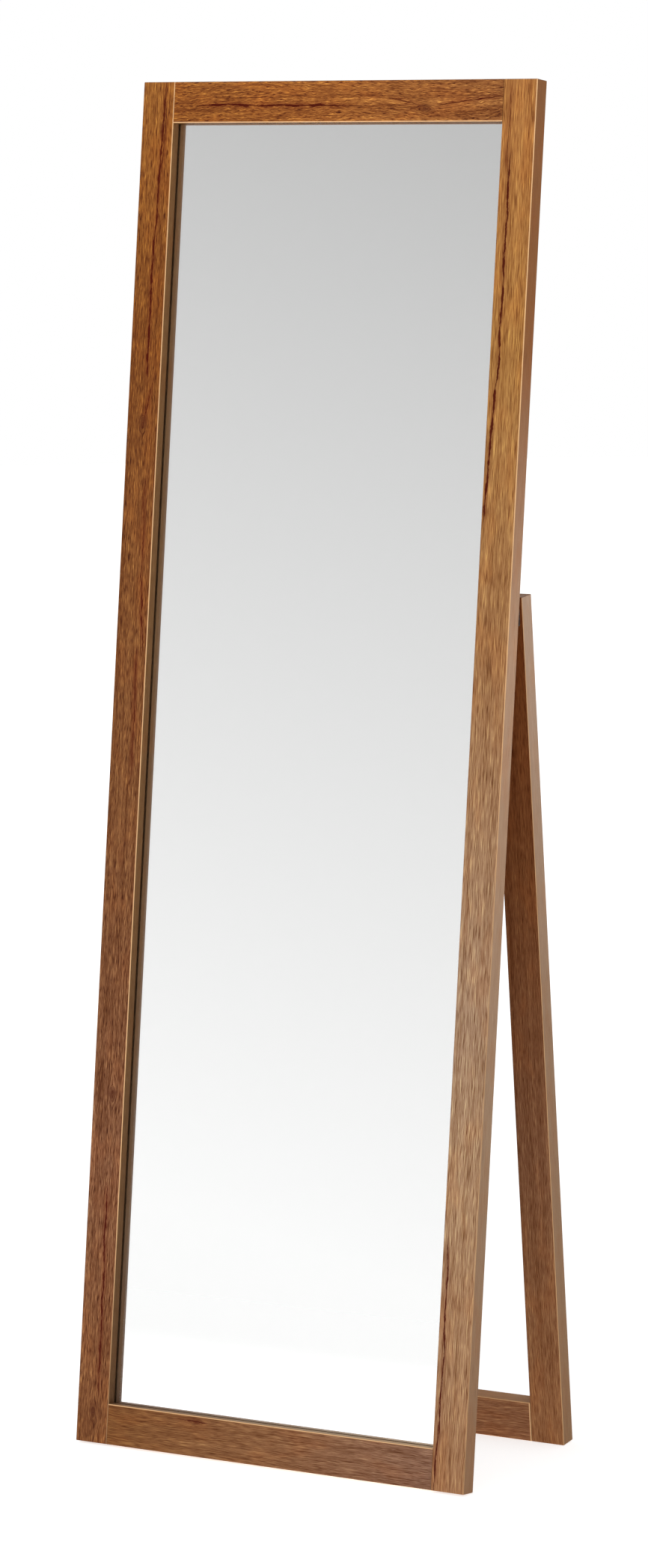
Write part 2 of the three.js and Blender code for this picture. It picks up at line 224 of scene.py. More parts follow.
def shade(red, green, blue):
    """An sRGB colour of 0 to 255 as the linear colour that nodes take."""

    def linear(part):
        part /= 255
        return part / 12.92 if part <= 0.04045 else ((part + 0.055) / 1.055) ** 2.4

    return (linear(red), linear(green), linear(blue), 1.0)


# ---------- wild oak ----------

# Each board has its own stretch of the decor. Places are millimetres along the board, up or to the
# right of its middle. Heights are millimetres across its front face, to the right or up from it.


@dataclass
class Decor:
    """face and side: place and sRGB colour, along the wide and narrow faces. Besides the decor's own
    tone they hold painted light: painted sheen on the narrow faces, and painted shade and light
    where the table notes it.
    cracks: start, end, height at start, height at end, half width. knots: place, height, radius.
    pale_lines: heights of thin pale lines next to a front arris. pale_ends: places of pale lines
    across the board. These lines are pale foil with a painted highlight. The last field: where the
    pale wear and painted highlight on lines and arrises are faint, and where they are full."""

    seed: int
    face: list
    side: list
    cracks: tuple = ()
    knots: tuple = ()
    pale_lines: tuple = ()
    pale_ends: tuple = ()
    wander: float = 3.0
    figure: float = 1.0
    pores: float = 1.0
    fibre_length: float = 1.0
    wear_and_highlight: tuple = (-740, -440)


def tones_along(s, along, stops):
    """A colour that changes smoothly between places along the board."""
    first = stops[0][0]
    reach = stops[-1][0] - first
    share = s.math("DIVIDE", s.sub(along, first), reach)
    return s.ramp(share, [((place - first) / reach, shade(*colour)) for place, *colour in stops])


def knot_rings(s, along, across, knot):
    """Fibre lines that part round a knot and close into rings inside it."""
    place, height, radius = knot
    du = s.mul(s.sub(along, place), 0.42)
    dv = s.sub(across, height - BOARD)
    square = s.add(s.squares(du, dv), 0.01)
    outside = s.mul(dv, s.sub(1.0, s.math("DIVIDE", radius * radius, square)))
    rings = s.mul(s.sub(s.math("SQRT", square), radius), 1.6)
    inside = s.span(square, (radius + 0.4) ** 2, (radius - 0.4) ** 2)
    flow = s.add(s.mul(outside, s.sub(1.0, inside)), s.mul(rings, inside))
    return s.add(flow, height - BOARD)


def grain_lines(s, decor, along, across):
    """across, bent to be constant along each fibre: coarse lines, and finer ones for the fibres."""
    seed = decor.seed * 37.0
    slow = s.streaks(along, across, 240, 70, seed, 1.0)
    bent = s.add(across, s.swing(slow, 4 * decor.wander))
    for knot in decor.knots:
        bent = knot_rings(s, along, bent, knot)
    middle = s.streaks(along, across, 34, 12, seed + 3)
    lines = s.add(bent, s.swing(middle, decor.wander))
    quick = s.streaks(along, across, 9 * decor.fibre_length, 3, seed + 5, 1.0)
    return lines, s.add(lines, s.swing(quick, 0.4 * decor.wander))


def crack_lines(s, decor, along, across):
    """How deep in a crack a point is, and how far into the dark wood beside one, both 0 to 1."""
    inside, beside = 0.0, 0.0
    for number, (start, end, height, last_height, width) in enumerate(decor.cracks):
        seed = decor.seed * 11.0 + number * 5.0
        slope = (last_height - height) / (end - start)
        straight = s.add(s.mul(s.sub(along, start), slope), height - BOARD)

        def wave(length, level, detail=2.0, roughness=0.5):
            return s.noise(s.vector(s.mul(along, 1 / length), seed, level), detail, roughness)

        bend = s.add(s.swing(wave(40, 0.0, 1.0), 5.5), s.swing(wave(8, 4.0, 3.0, 0.7), 2.6))
        away = s.away(across, s.add(straight, bend))
        open_by = s.span(wave(16, 8.0), 0.35, 0.62, 0.25, 1.0)
        low, high = min(start, end), max(start, end)
        ends = s.mul(s.span(along, low - 6, low + 30), s.span(along, high + 6, high - 30))
        half = s.mul(s.mul(open_by, ends), 1.7 * width)
        core = s.mul(s.span(s.sub(away, half), 0.3, -0.25), s.span(half, 0.02, 0.15))
        inside = s.most(core, inside)
        beside = s.most(s.mul(s.span(away, 5.5, 0.0), ends), beside)
    return inside, beside


def knot_shade(s, decor, along, across):
    """How dark a knot makes a point, 0 to 1."""
    dark = 0.0
    for place, height, radius in decor.knots:
        du = s.mul(s.sub(along, place), 0.6)
        dv = s.sub(across, height - BOARD)
        away = s.math("SQRT", s.squares(du, dv))
        ragged = s.add(away, s.swing(s.streaks(along, across, 9, 2.2, place, 3.0), 4.5 * radius))
        dark = s.most(s.span(ragged, 2.1 * radius, 0.4 * radius), dark)
    return dark


FIBRE_TONES = [
    (0.1, (0.42, 0.27, 0.17, 1.0)),
    (0.34, (0.68, 0.57, 0.44, 1.0)),
    (0.52, (1.0, 1.0, 1.0, 1.0)),
    (0.7, (1.36, 1.50, 1.48, 1.0)),
    (0.92, (1.9, 2.3, 2.4, 1.0)),
]
REDDER = (1.0, 0.80, 0.62, 1.0)
PORE = (0.46, 0.31, 0.21, 1.0)
GLEAM = (1.45, 1.6, 1.5, 1.0)
KNOT_WOOD = shade(72, 24, 8)
CRACK_SIDE = shade(106, 34, 9)
CRACK_DEPTH = shade(74, 13, 3)
PALE_EDGE_AND_HIGHLIGHT = shade(240, 192, 140)


def pale_wear_and_highlight(s, decor, along, height, depth):
    """How pale a point is, from wear and a painted highlight: along the arrises and on the pale
    lines of the front face.
    """
    wear_and_highlight = s.amount("arris")
    front = s.span(depth, 0.8 - BOARD, 0.3 - BOARD)
    lines = [(height, line, 0.75, 0.25) for line in decor.pale_lines]
    lines += [(along, place, 1.1, 0.5) for place in decor.pale_ends]
    for where, middle, outside, inside in lines:
        line = s.mul(s.span(s.away(where, middle), outside, inside), front)
        wear_and_highlight = s.most(wear_and_highlight, line)
    return s.mul(wear_and_highlight, s.span(along, *decor.wear_and_highlight, 0.3, 1.0))


def wild_oak(name, decor):
    """Foil printed as rustic oak: fibres, pores, knots, cracks, and pale arrises of wear and painted
    highlight.
    """
    s = Shader(name)
    along, height, depth = s.place("grain")
    across = s.add(height, depth)
    lines, fibres = grain_lines(s, decor, along, across)
    seed = decor.seed * 13.0
    stretch = decor.fibre_length

    def tinted(wood, share, tint):
        return s.mix(share, wood, s.mix(1.0, wood, tint, "MULTIPLY"))

    band = s.streaks(along, lines, 500, 7, seed, 3.0, 0.6)
    streak = s.streaks(along, fibres, 42 * stretch, 1.6, seed + 1, 3.0, 0.6)
    hair = s.streaks(along, fibres, 12 * stretch, 0.85, seed + 2, 1.0)
    fibre = s.streaks(along, fibres, 6 * stretch, 0.45, seed + 4, 2.0, 0.6)
    mottle = s.streaks(along, lines, 60, 22, seed + 7)

    broad = 0.35 + 0.65 * decor.figure
    tone = s.total(
        s.swing(band, 0.7 * broad),
        s.swing(streak, 1.1 * decor.figure),
        s.swing(hair, 0.55),
        s.swing(fibre, 0.7),
        s.swing(mottle, 0.3 * broad),
    )
    # The narrow faces get fainter grain and their own paler, greyer tones, which are partly painted
    # sheen.
    edge_face = s.amount("narrow")
    wide_face = s.sub(1.0, s.mul(edge_face, 0.78))
    contrast = s.ramp(s.add(s.mul(tone, wide_face), 0.5), FIBRE_TONES)
    base = s.mix(edge_face, tones_along(s, along, decor.face), tones_along(s, along, decor.side))
    wood = s.mix(1.0, base, contrast, "MULTIPLY")
    wood = tinted(wood, s.mul(s.span(mottle, 0.45, 0.68), 0.45), REDDER)
    pore = s.mul(s.span(hair, 0.42, 0.35), wide_face)
    wood = tinted(wood, s.mul(pore, 0.75 * decor.pores), PORE)
    gleam = s.mul(s.span(hair, 0.59, 0.66), wide_face)
    wood = tinted(wood, s.mul(gleam, 0.6 * decor.pores), GLEAM)

    inside, beside = crack_lines(s, decor, along, across)
    wood = s.mix(s.mul(knot_shade(s, decor, along, across), 0.6), wood, KNOT_WOOD)
    wood = s.mix(s.mul(beside, 0.36), wood, CRACK_SIDE)
    wood = s.mix(s.mul(inside, 0.95), wood, CRACK_DEPTH)
    # Pale arrises and lines: pale wear and a painted highlight, broken up along the grain.
    pale_patchiness = s.span(s.mul(s.add(streak, fibre), 0.5), 0.3, 0.5, 0.8, 1.0)
    wood = s.mix(s.mul(pale_wear_and_highlight(s, decor, along, height, depth), pale_patchiness), wood, PALE_EDGE_AND_HIGHLIGHT)

    rough = s.total(s.mul(fibre, 0.2), s.mul(inside, 0.4), 0.38)
    s.set(Base_Color=wood, Roughness=rough, Specular_IOR_Level=0.08)
    relief = s.sub(s.add(s.mul(hair, 0.5), s.mul(fibre, 0.4)), s.mul(inside, 1.6))
    s.bump(relief, 0.0003, 0.8)
    return s.material


# ---------- other materials ----------


def fibreboard(name):
    """The bare core in rebates and holes: brown board of fine fibres."""
    s = Shader(name)
    where = s.vector(*s.place("grain"))
    felt = s.noise(where, 4.0, 0.65, scale=0.9)
    dust = s.noise(where, 3.0, 0.6, scale=3.5)
    shades = [(0.3, shade(122, 86, 54)), (0.5, shade(150, 112, 74)), (0.7, shade(176, 138, 98))]
    s.set(Base_Color=s.ramp(s.add(s.mul(felt, 0.6), s.mul(dust, 0.4)), shades), Roughness=0.92)
    s.bump(s.add(s.mul(felt, 0.5), dust), 0.0003, 0.6)
    return s.material


def silvering():
    s = Shader("silvering")
    s.set(Base_Color=(0.93, 0.915, 0.92, 1.0), Metallic=1.0, Roughness=0.004)
    return s.material


def clear_glass():
    s = Shader("clear_glass")
    s.set(Base_Color=(0.985, 0.995, 0.99, 1.0), Transmission_Weight=1.0, Roughness=0.0, IOR=1.5)
    return s.material


SCREEN_PITCH = 1.3  # of the weave pressed into the back of the hardboard


def hardboard():
    """Pressed brown board, its back pressed with the weave of the press screen, darker in the
    weave's hollows.
    """
    s = Shader("hardboard")
    where = s.place("grain")
    cloud = s.noise(s.vector(*where), 3.0, 0.6, scale=0.02)
    felt = s.noise(s.scaled(where, 1.0, 1.0, 0.4), 4.0, 0.7, scale=0.8)
    chip = s.noise(s.scaled(where, 0.35, 1.0, 1.0), 2.0, 0.5, scale=0.5)
    tone = s.total(s.mul(felt, 0.5), s.mul(cloud, 0.25), s.mul(chip, 0.25))
    shades = [(0.32, shade(66, 42, 26)), (0.5, shade(98, 66, 42)), (0.66, shade(136, 98, 66))]
    warp, weft = (s.math("SINE", s.mul(where[i], 2 * math.pi / SCREEN_PITCH)) for i in (X, Z))
    screen = s.mul(warp, weft)
    colour = s.mix(s.mul(s.span(screen, 0.2, -0.8), 0.3), s.ramp(tone, shades), shade(58, 36, 22))
    s.set(Base_Color=colour, Roughness=s.add(s.mul(felt, 0.2), 0.62))
    s.bump(s.add(s.mul(screen, 0.5), s.mul(felt, 0.5)), 0.0002, 0.8)
    return s.material


def zinc_plate(name="zinc_plate", base=(176, 178, 180)):
    """Bright zinc on steel: faint cloudy spangle, fine drawing lines and dull spots."""
    s = Shader(name)
    place = s.place("grain")
    where = s.vector(*place)
    cloud = s.noise(where, 3.0, 0.6, scale=0.35)
    lines = s.noise(s.scaled(place, 0.15, 6.0, 6.0), 2.0, 0.6)
    spots = s.span(s.noise(where, 2.0, 0.5, scale=1.7), 0.6, 0.72)
    lights = (0.72, 1, 1.16)
    dull, plain, light = (shade(*(min(255, part * level) for part in base)) for level in lights)
    spangle = s.ramp(cloud, [(0.3, dull), (0.5, plain), (0.7, light)])
    s.set(Base_Color=s.mix(s.mul(spots, 0.35), spangle, dull), Metallic=1.0)
    s.set(Roughness=s.total(s.mul(lines, 0.2), s.mul(cloud, 0.16), s.mul(spots, 0.15), 0.14))
    s.bump(s.add(lines, s.mul(cloud, 0.6)), 0.00003, 0.5)
    return s.material


def beech():
    """Dowel rod: pale wood, long fibres and short dark flecks."""
    s = Shader("beech")
    place = s.place("grain")
    fibre = s.noise(s.scaled(place, 0.12, 2.2, 2.2), 3.0, 0.6)
    flecks = s.noise(s.scaled(place, 0.5, 4.0, 4.0), 1.0, 0.5)
    shades = [(0.3, shade(184, 140, 98)), (0.5, shade(208, 168, 124)), (0.7, shade(226, 192, 150))]
    dark = s.mul(s.span(flecks, 0.62, 0.72), 0.6)
    colour = s.mix(dark, s.ramp(fibre, shades), shade(142, 92, 58))
    s.set(Base_Color=colour, Roughness=s.add(s.mul(fibre, 0.2), 0.6))
    s.bump(s.add(fibre, flecks), 0.0001, 0.6)
    return s.material


def webbing():
    """Dark polyester webbing: each cord lighter on its crown, a painted highlight, with stray
    fibres.
    """
    s = Shader("webbing")
    along, across, raised = s.place("grain")
    # Crowns lighter and the hollows between cords darker: painted highlight and painted shade.
    cord = s.span(raised, -0.2, 0.9)
    twist = s.noise(s.scaled((along, across, 0.0), 2.4, 5.0, 1.0), 2.0, 0.6)
    fade = s.noise(s.scaled((along, across, 3.0), 0.05, 0.12, 1.0))
    tone = s.total(s.mul(cord, 0.55), s.mul(twist, 0.3), s.mul(fade, 0.15))
    shades = [(0.1, shade(16, 15, 15)), (0.5, shade(44, 41, 39)), (0.85, shade(84, 80, 76))]
    s.set(Base_Color=s.ramp(tone, shades), Roughness=s.add(s.mul(twist, 0.2), 0.62))
    s.set(Sheen_Weight=0.3, Sheen_Roughness=0.4)
    s.bump(twist, 0.0001, 0.7)
    return s.material


CORE = fibreboard("fibreboard_core")
ZINC = zinc_plate()
PIN_STEEL = zinc_plate("pin_steel", (158, 160, 164))
BEECH = beech()
WEBBING = webbing()


# ---------- meshes ----------


def new_object(name, bm, material=None):
    mesh = bpy.data.meshes.new(name)
    bmesh.ops.recalc_face_normals(bm, faces=bm.faces)
    bm.to_mesh(mesh)
    bm.free()
    if material:
        mesh.materials.append(material)
    made = bpy.data.objects.new(name, mesh)
    bpy.context.scene.collection.objects.link(made)
    return made


def block(low, high):
    bm = bmesh.new()
    bmesh.ops.create_cube(bm, size=1.0)
    size = [b - a for a, b in zip(low, high)]
    middle = [(a + b) / 2 for a, b in zip(low, high)]
    bmesh.ops.scale(bm, vec=size, verts=bm.verts)
    bmesh.ops.translate(bm, vec=middle, verts=bm.verts)
    return bm


def round_edges(bm, radius, segments, chosen=lambda edge: True):
    edges = [edge for edge in bm.edges if chosen(edge)]
    bmesh.ops.bevel(bm, geom=edges, offset=radius, segments=segments, profile=0.5, affect="EDGES")
    return bm


def turned(rows, axis=(0, 0, 1), place=(0, 0, 0), sides=32):
    """A closed solid round an axis, from (radius, height) rows. A radius may vary by the angle."""
    bm = bmesh.new()
    rings = []
    angles = [2 * math.pi * i / sides for i in range(sides)]
    for radius, height in rows:
        if radius == 0:
            rings.append([bm.verts.new((0, 0, height))])
            continue
        radii = [radius(a) if callable(radius) else radius for a in angles]
        ring = [(r * math.cos(a), r * math.sin(a), height) for r, a in zip(radii, angles)]
        rings.append([bm.verts.new(point) for point in ring])
    for low, high in zip(rings, rings[1:]):
        for i in range(sides):
            j = (i + 1) % sides
            order = ((low, i), (low, j), (high, j), (high, i))
            corners = [ring[number % len(ring)] for ring, number in order]
            bm.faces.new(list(dict.fromkeys(corners)))
    turn = Vector((0, 0, 1)).rotation_difference(Vector(axis)).to_matrix().to_4x4()
    bm.transform(Matrix.Translation(place) @ turn)
    bmesh.ops.recalc_face_normals(bm, faces=bm.faces)
    return bm


def shrunk(outline, distance):
    """A closed outline moved inwards."""
    points = [Vector(point) for point in outline]
    area = sum(a.x * b.y - b.x * a.y for a, b in zip(points, points[1:] + points[:1]))
    side = math.copysign(distance, area)
    moved = []
    for before, point, after in zip(points[-1:] + points[:-1], points, points[1:] + points[:1]):
        normals = [Vector((-d.y, d.x)).normalized() for d in (point - before, after - point)]
        middle = (normals[0] + normals[1]).normalized()
        moved.append(point + middle * (side / max(0.5, middle.dot(normals[0]))))
    return moved


def extruded(outline, low, high, chamfer=0):
    """A solid from a closed outline of (y, z) points, along x from low to high."""
    bm = bmesh.new()
    layers = [(low, outline), (high, outline)]
    if chamfer:
        small = shrunk(outline, chamfer)
        layers = [(low, small), (low + chamfer, outline), (high - chamfer, outline), (high, small)]
    rings = [[bm.verts.new((x, y, z)) for y, z in points] for x, points in layers]
    for near, far in zip(rings, rings[1:]):
        for i in range(len(near)):
            j = (i + 1) % len(near)
            bm.faces.new((near[i], near[j], far[j], far[i]))
    bm.faces.new(reversed(rings[0]))
    bm.faces.new(rings[-1])
    bmesh.ops.recalc_face_normals(bm, faces=bm.faces)
    return bm


def join(parts):
    whole = bmesh.new()
    for part in parts:
        mesh = bpy.data.meshes.new("joined")
        part.to_mesh(mesh)
        part.free()
        whole.from_mesh(mesh)
        bpy.data.meshes.remove(mesh)
    return whole


def combine(made, tools, operation="DIFFERENCE", material=None):
    """Cuts the tools from an object, or adds them to it, and keeps the resulting mesh."""
    tool = new_object("tool", join(tools), material)
    change = made.modifiers.new("combine", "BOOLEAN")
    change.operation = operation
    change.solver = "EXACT"
    change.use_self = True
    change.material_mode = "TRANSFER" if material else "INDEX"
    change.object = tool
    apply_modifiers(made)
    bpy.data.objects.remove(tool)
    weld(made)


def weld(made):
    """Joins points closer than a thousandth of a millimetre, and drops the slivers between them."""
    bm = bmesh.new()
    bm.from_mesh(made.data)
    bmesh.ops.remove_doubles(bm, verts=bm.verts, dist=0.001)
    bmesh.ops.dissolve_degenerate(bm, edges=bm.edges, dist=0.001)
    bm.to_mesh(made.data)
    bm.free()


def apply_modifiers(made):
    depsgraph = bpy.context.evaluated_depsgraph_get()
    mesh = bpy.data.meshes.new_from_object(made.evaluated_get(depsgraph), depsgraph=depsgraph)
    made.modifiers.clear()
    mesh.name = made.name
    made.data = mesh


def soften(made, width, angle=50, segments=2):
    """Rounds every edge sharper than the angle, in degrees."""
    change = made.modifiers.new("soften", "BEVEL")
    change.width = width
    change.segments = segments
    change.limit_method = "ANGLE"
    change.angle_limit = math.radians(angle)
    apply_modifiers(made)


def mark(made, name, values):
    """Keeps a number for each point as an attribute that the materials read."""
    made.data.attributes.new(name, "FLOAT", "POINT").data.foreach_set("value", values)


def mark_places(made, places):
    """Keeps a place in millimetres for each point as the attribute that the materials read."""
    parts = [part for place in places for part in place]
    made.data.attributes.new("grain", "FLOAT_VECTOR", "POINT").data.foreach_set("vector", parts)


def mark_grain(made, turn=Matrix()):
    mark_places(made, [turn @ vertex.co for vertex in made.data.vertices])


def settle(made, part, nodes, turn=Matrix()):
    """Puts a piece built in millimetres on a leaning part, smooths it, and ties it to the CAD."""
    on, body = part
    made.data.transform(on @ turn)
    made.data.shade_smooth()
    made.data.set_sharp_from_angle(angle=math.radians(35))
    smooth = made.modifiers.new("weighted normals", "WEIGHTED_NORMAL")
    smooth.keep_sharp = True
    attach(made, body)
    if nodes:
        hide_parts(*nodes)


# ---------- boards ----------

ROUND_STEPS = 4


def grain_place(point, low, high, upright):
    """Along, across and depth of a board's point. Along and across are from its middle."""
    x = point[0] - (low[0] + high[0]) / 2
    z = point[2] - (low[2] + high[2]) / 2
    depth = point[1] - high[1]
    if upright and on_end(point, low, high):
        return z + x, 0, depth
    across, along = (x, z) if upright else (z, x)
    return along, across, depth


def on_end(point, low, high):
    """Whether a point is on the flat of an upright board's top or bottom end."""
    return min(point[2] - low[2], high[2] - point[2]) < 0.01


def arris_amount(point, low, high, wear_and_highlight):
    """1 on the middle of a rounded long edge with pale wear and painted highlight, 0 on the flats.
    """
    cuts = []
    for axis in range(3):
        middle = (low[axis] + high[axis]) / 2
        half = (high[axis] - low[axis]) / 2
        out = abs(point[axis] - middle) - (half - ARRIS)
        side = 1 if point[axis] > middle else -1
        cuts.append((max(out, 0) / ARRIS, axis, side))
    (_, first, side_a), (reach, second, side_b) = sorted(cuts, reverse=True)[:2]
    share = wear_and_highlight.get(frozenset(((first, side_a), (second, side_b))), 0)
    return min(1, reach / 0.7) * share


def narrow_amount(point, low, high, across):
    """1 on the board's narrow faces and ends, 0 on its wide ones."""
    if across == X and on_end(point, low, high):
        return 1
    middle = (low[across] + high[across]) / 2
    half = (high[across] - low[across]) / 2
    return min(1, max(0, (abs(point[across] - middle) - (half - ARRIS)) / ARRIS))


def board(name, part, low, high, wear_and_highlight, cutters):
    """A foil-wrapped board with rounded edges. Its rebates and holes show the fibreboard core."""
    upright = high[Z] - low[Z] > high[X] - low[X]
    across = X if upright else Z

    def rounded(edge):
        """Every edge of an upright board. Only the long ones of a rail, whose ends are butted."""
        a, b = edge.verts
        return upright or abs(a.co[X] - b.co[X]) > 1

    bm = round_edges(block(low, high), ARRIS, ROUND_STEPS, rounded)
    made = new_object(name, bm, wild_oak(name + "_foil", OAK[name]))
    combine(made, cutters, material=CORE)
    points = [vertex.co.copy() for vertex in made.data.vertices]
    mark_places(made, [grain_place(p, low, high, upright) for p in points])
    mark(made, "arris", [arris_amount(p, low, high, wear_and_highlight) for p in points])
    mark(made, "narrow", [narrow_amount(p, low, high, across) for p in points])
    settle(made, part, [name])


def edge(axis_a, side_a, axis_b, side_b):
    """The key of a long edge: the two sides that meet there."""
    return frozenset(((axis_a, side_a), (axis_b, side_b)))


DOWEL_RADIUS = 3.8
DOWEL_LENGTH = 35
DOWEL_LOW = 11  # heights of a joint's two dowels above the end of the stile
DOWEL_HIGH = 31


def dowel_heights(length):
    return (
        ("bottom", "lower", DOWEL_LOW),
        ("bottom", "upper", DOWEL_HIGH),
        ("top", "lower", length - DOWEL_HIGH),
        ("top", "upper", length - DOWEL_LOW),
    )


def dowel_holes(length, y, sides, levels):
    """Holes across the joints at the given sides and levels."""
    half = DOWEL_LENGTH / 2 + FIT
    radius = DOWEL_RADIUS + FIT
    outline = [(0, -half), (radius, -half), (radius, half), (0, half)]
    return [
        turned(outline, (1, 0, 0), (side * INNER, y, height))
        for _, side in sides
        for level, _, height in dowel_heights(length)
        if level in levels
    ]


OAK = {
    "left_stile": Decor(
        1,
        face=[
            (-770, 125, 77, 44), (-450, 129, 84, 58), (-50, 124, 78, 45), (500, 127, 73, 28),
            (770, 149, 92, 39),
        ],
        # Its narrow faces are lightened: painted light, for the inner side beside the mirror.
        side=[(-770, 128, 94, 64), (0, 148, 108, 70), (770, 150, 108, 68)],
        cracks=(
            (770, 560, 9, 2.5, 0.7),
            (745, 650, 12, 7, 0.3),
            (600, 425, 2, 3, 0.85),
            (440, 375, 12, -1, 0.4),
            (330, 215, 7, 9, 0.25),
            (230, 120, 8, 15, 0.5),
            (140, -20, 7, 9, 0.3),
            (-470, -720, 4, 6.5, 0.65),
        ),
        knots=((722, 7, 2.2), (385, 0, 4.5), (-374, 5, 4), (-735, 1, 4.5)), pale_lines=(20.0,),
        wander=2.5, pores=1.3,
    ),
    "right_stile": Decor(
        2,
        face=[
            # Paler and greyer towards the foot: painted reflection of the bright floor.
            (-770, 160, 116, 82), (-450, 168, 132, 101), (-250, 163, 130, 104), (160, 157, 112, 72),
            (480, 166, 116, 61), (770, 170, 113, 60),
        ],
        side=[
            # Lightest in the middle: painted light and sheen.
            (-770, 141, 103, 70), (-420, 154, 123, 95), (150, 184, 147, 119), (480, 142, 88, 41),
            (770, 140, 90, 46),
        ],
        cracks=(
            (775, 640, -12, -10.5, 0.14),
            (690, 440, -8.5, -9.5, 0.85),
            (470, 285, -9.5, -18.5, 0.95),
            (-490, -660, -14, -13, 0.6),
            (-640, -775, -13, -17, 0.6),
        ),
        pale_lines=(20.0,), wander=1.7, figure=0.45, pores=1.0, fibre_length=2.0, wear_and_highlight=(-250, 350),
    ),
    "top_rail": Decor(
        3,
        face=[(-209, 139, 80, 31), (0, 152, 90, 39), (209, 143, 88, 45)],
        side=[(-209, 146, 102, 62), (209, 156, 110, 68)],
        cracks=((-185, 25, -3, -5, 0.75), (120, 215, -6, 6, 0.35), (60, 112, 6, -7, 0.3)),
        knots=((114, -9, 3.2),), pale_lines=(-22.5,), wander=5.0, figure=1.15, pores=1.6,
        fibre_length=0.7,
    ),
    "bottom_rail": Decor(
        4,
        face=[(-209, 126, 80, 43), (0, 138, 94, 62), (209, 135, 97, 77)],
        # Creamier towards the right: painted light on the rail's top edge.
        side=[(-209, 156, 114, 82), (209, 232, 200, 164)],
        cracks=((-120, -70, 17, 16, 0.5),),
        knots=((-93, 17, 3),), pale_lines=(22.5,), wander=3, figure=0.6, pores=0.6,
        fibre_length=1.6,
    ),
    "support_left_leg": Decor(
        5,
        # Darker towards the top: painted shade from the frame.
        face=[(-487, 132, 88, 56), (487, 112, 66, 36)],
        side=[(-487, 146, 116, 90), (487, 158, 128, 104)],
        cracks=((300, 60, 5, 8, 0.4),),
        figure=0.6, pores=0.5, fibre_length=1.4,
    ),
    "support_right_leg": Decor(
        6,
        # Darker towards the top: painted shade from the frame.
        face=[(-487, 160, 109, 70), (-150, 151, 104, 74), (180, 138, 86, 51), (487, 126, 68, 31)],
        side=[(-487, 140, 104, 70), (0, 151, 119, 91), (487, 182, 151, 128)],
        wander=2.5, figure=0.5, pores=0.45, fibre_length=1.4,
    ),
    "support_top_rail": Decor(
        7,
        face=[(-209, 120, 72, 40), (209, 112, 66, 38)],
        side=[(-209, 140, 108, 84), (209, 140, 108, 84)],
        knots=((-60, 3, 4),), figure=0.7, pores=0.5, fibre_length=1.6,
    ),
    "support_bottom_rail": Decor(
        8,
        face=[(-209, 153, 102, 68), (209, 150, 101, 69)],
        # Pale: painted light on the rail's top edge.
        side=[(-209, 206, 158, 116), (209, 206, 158, 116)],
        knots=((120, -4, 3),), pale_lines=(22.5,), pale_ends=(208.4,), figure=0.6, pores=0.5,
        fibre_length=1.6,
    ),
}


def stile_board(name, side):
    low, high = sorted((side * (INNER + SEAM / 2), side * HALF))
    rebate = sorted((side * (INNER - 1), side * REBATE_EDGE))
    cutters = [block((rebate[0], -REBATE_DEPTH, REBATE_FOOT), (rebate[1], 1, REBATE_TOP))]
    cutters += dowel_holes(FRAME_LENGTH, -BOARD / 2, [(name, side)], ("bottom", "top"))
    cutters += clip_screw_holes((f"{name}_lower", f"{name}_upper"))
    cutters += leaf_screw_holes(side, 1, STILE_AXIS)
    # Arrises that get the pale wear and painted highlight, and how much.
    wear_and_highlight = {edge(X, 1, Y, -1): 1.0, edge(X, 1, Y, 1): 0.5}
    board(f"{name}_stile", FRAME, (low, -BOARD, 0), (high, 0, FRAME_LENGTH), wear_and_highlight, cutters)


def rail_board(level, foot):
    rebate = foot if level == "top" else foot + REBATE_FOOT
    cutters = [block((-INNER, -REBATE_DEPTH, rebate - 1), (INNER, 1, rebate + REBATE_WIDTH + 1))]
    cutters += dowel_holes(FRAME_LENGTH, -BOARD / 2, SIDES, (level,))
    cutters += clip_screw_holes((f"{level}_left", f"{level}_right"))
    if level == "bottom":
        cutters.append(screw_hole(STRAP_SCREW, strap_screw_place(1), 1))
    # Arrises that get the pale wear and painted highlight, and how much.
    wear_and_highlight = {edge(Z, -1 if level == "top" else 1, Y, -1): 1.0}
    low, high = (-RAIL_END, -BOARD, foot), (RAIL_END, 0, foot + RAIL)
    board(f"{level}_rail", FRAME, low, high, wear_and_highlight, cutters)


def leg_board(name, side):
    low, high = sorted((side * (INNER + SEAM / 2), side * HALF))
    cutters = dowel_holes(LEG_LENGTH, BOARD / 2, [(name, side)], ("bottom", "top"))
    cutters += leaf_screw_holes(side, -1, LEG_AXIS)
    # Arrises that get the pale wear and painted highlight, and how much.
    wear_and_highlight = {edge(X, 1, Y, -1): 0.8, edge(X, 1, Y, 1): 0.8, edge(X, -1, Y, 1): 0.5}
    board(f"support_{name}_leg", SUPPORT, (low, 0, 0), (high, BOARD, LEG_LENGTH), wear_and_highlight, cutters)


def support_rail_board(level, foot):
    cutters = dowel_holes(LEG_LENGTH, BOARD / 2, SIDES, (level,))
    if level == "bottom":
        cutters.append(screw_hole(STRAP_SCREW, strap_screw_place(-1), -1))
    low, high = (-RAIL_END, 0, foot), (RAIL_END, BOARD, foot + RAIL)
    # Arrises that get the pale wear and painted highlight, and how much.
    wear_and_highlight = {edge(Z, 1, Y, -1): 1.0, edge(Z, 1, Y, 1): 0.6, edge(Z, -1, Y, 1): 0.4}
    board(f"support_{level}_rail", SUPPORT, low, high, wear_and_highlight, cutters)


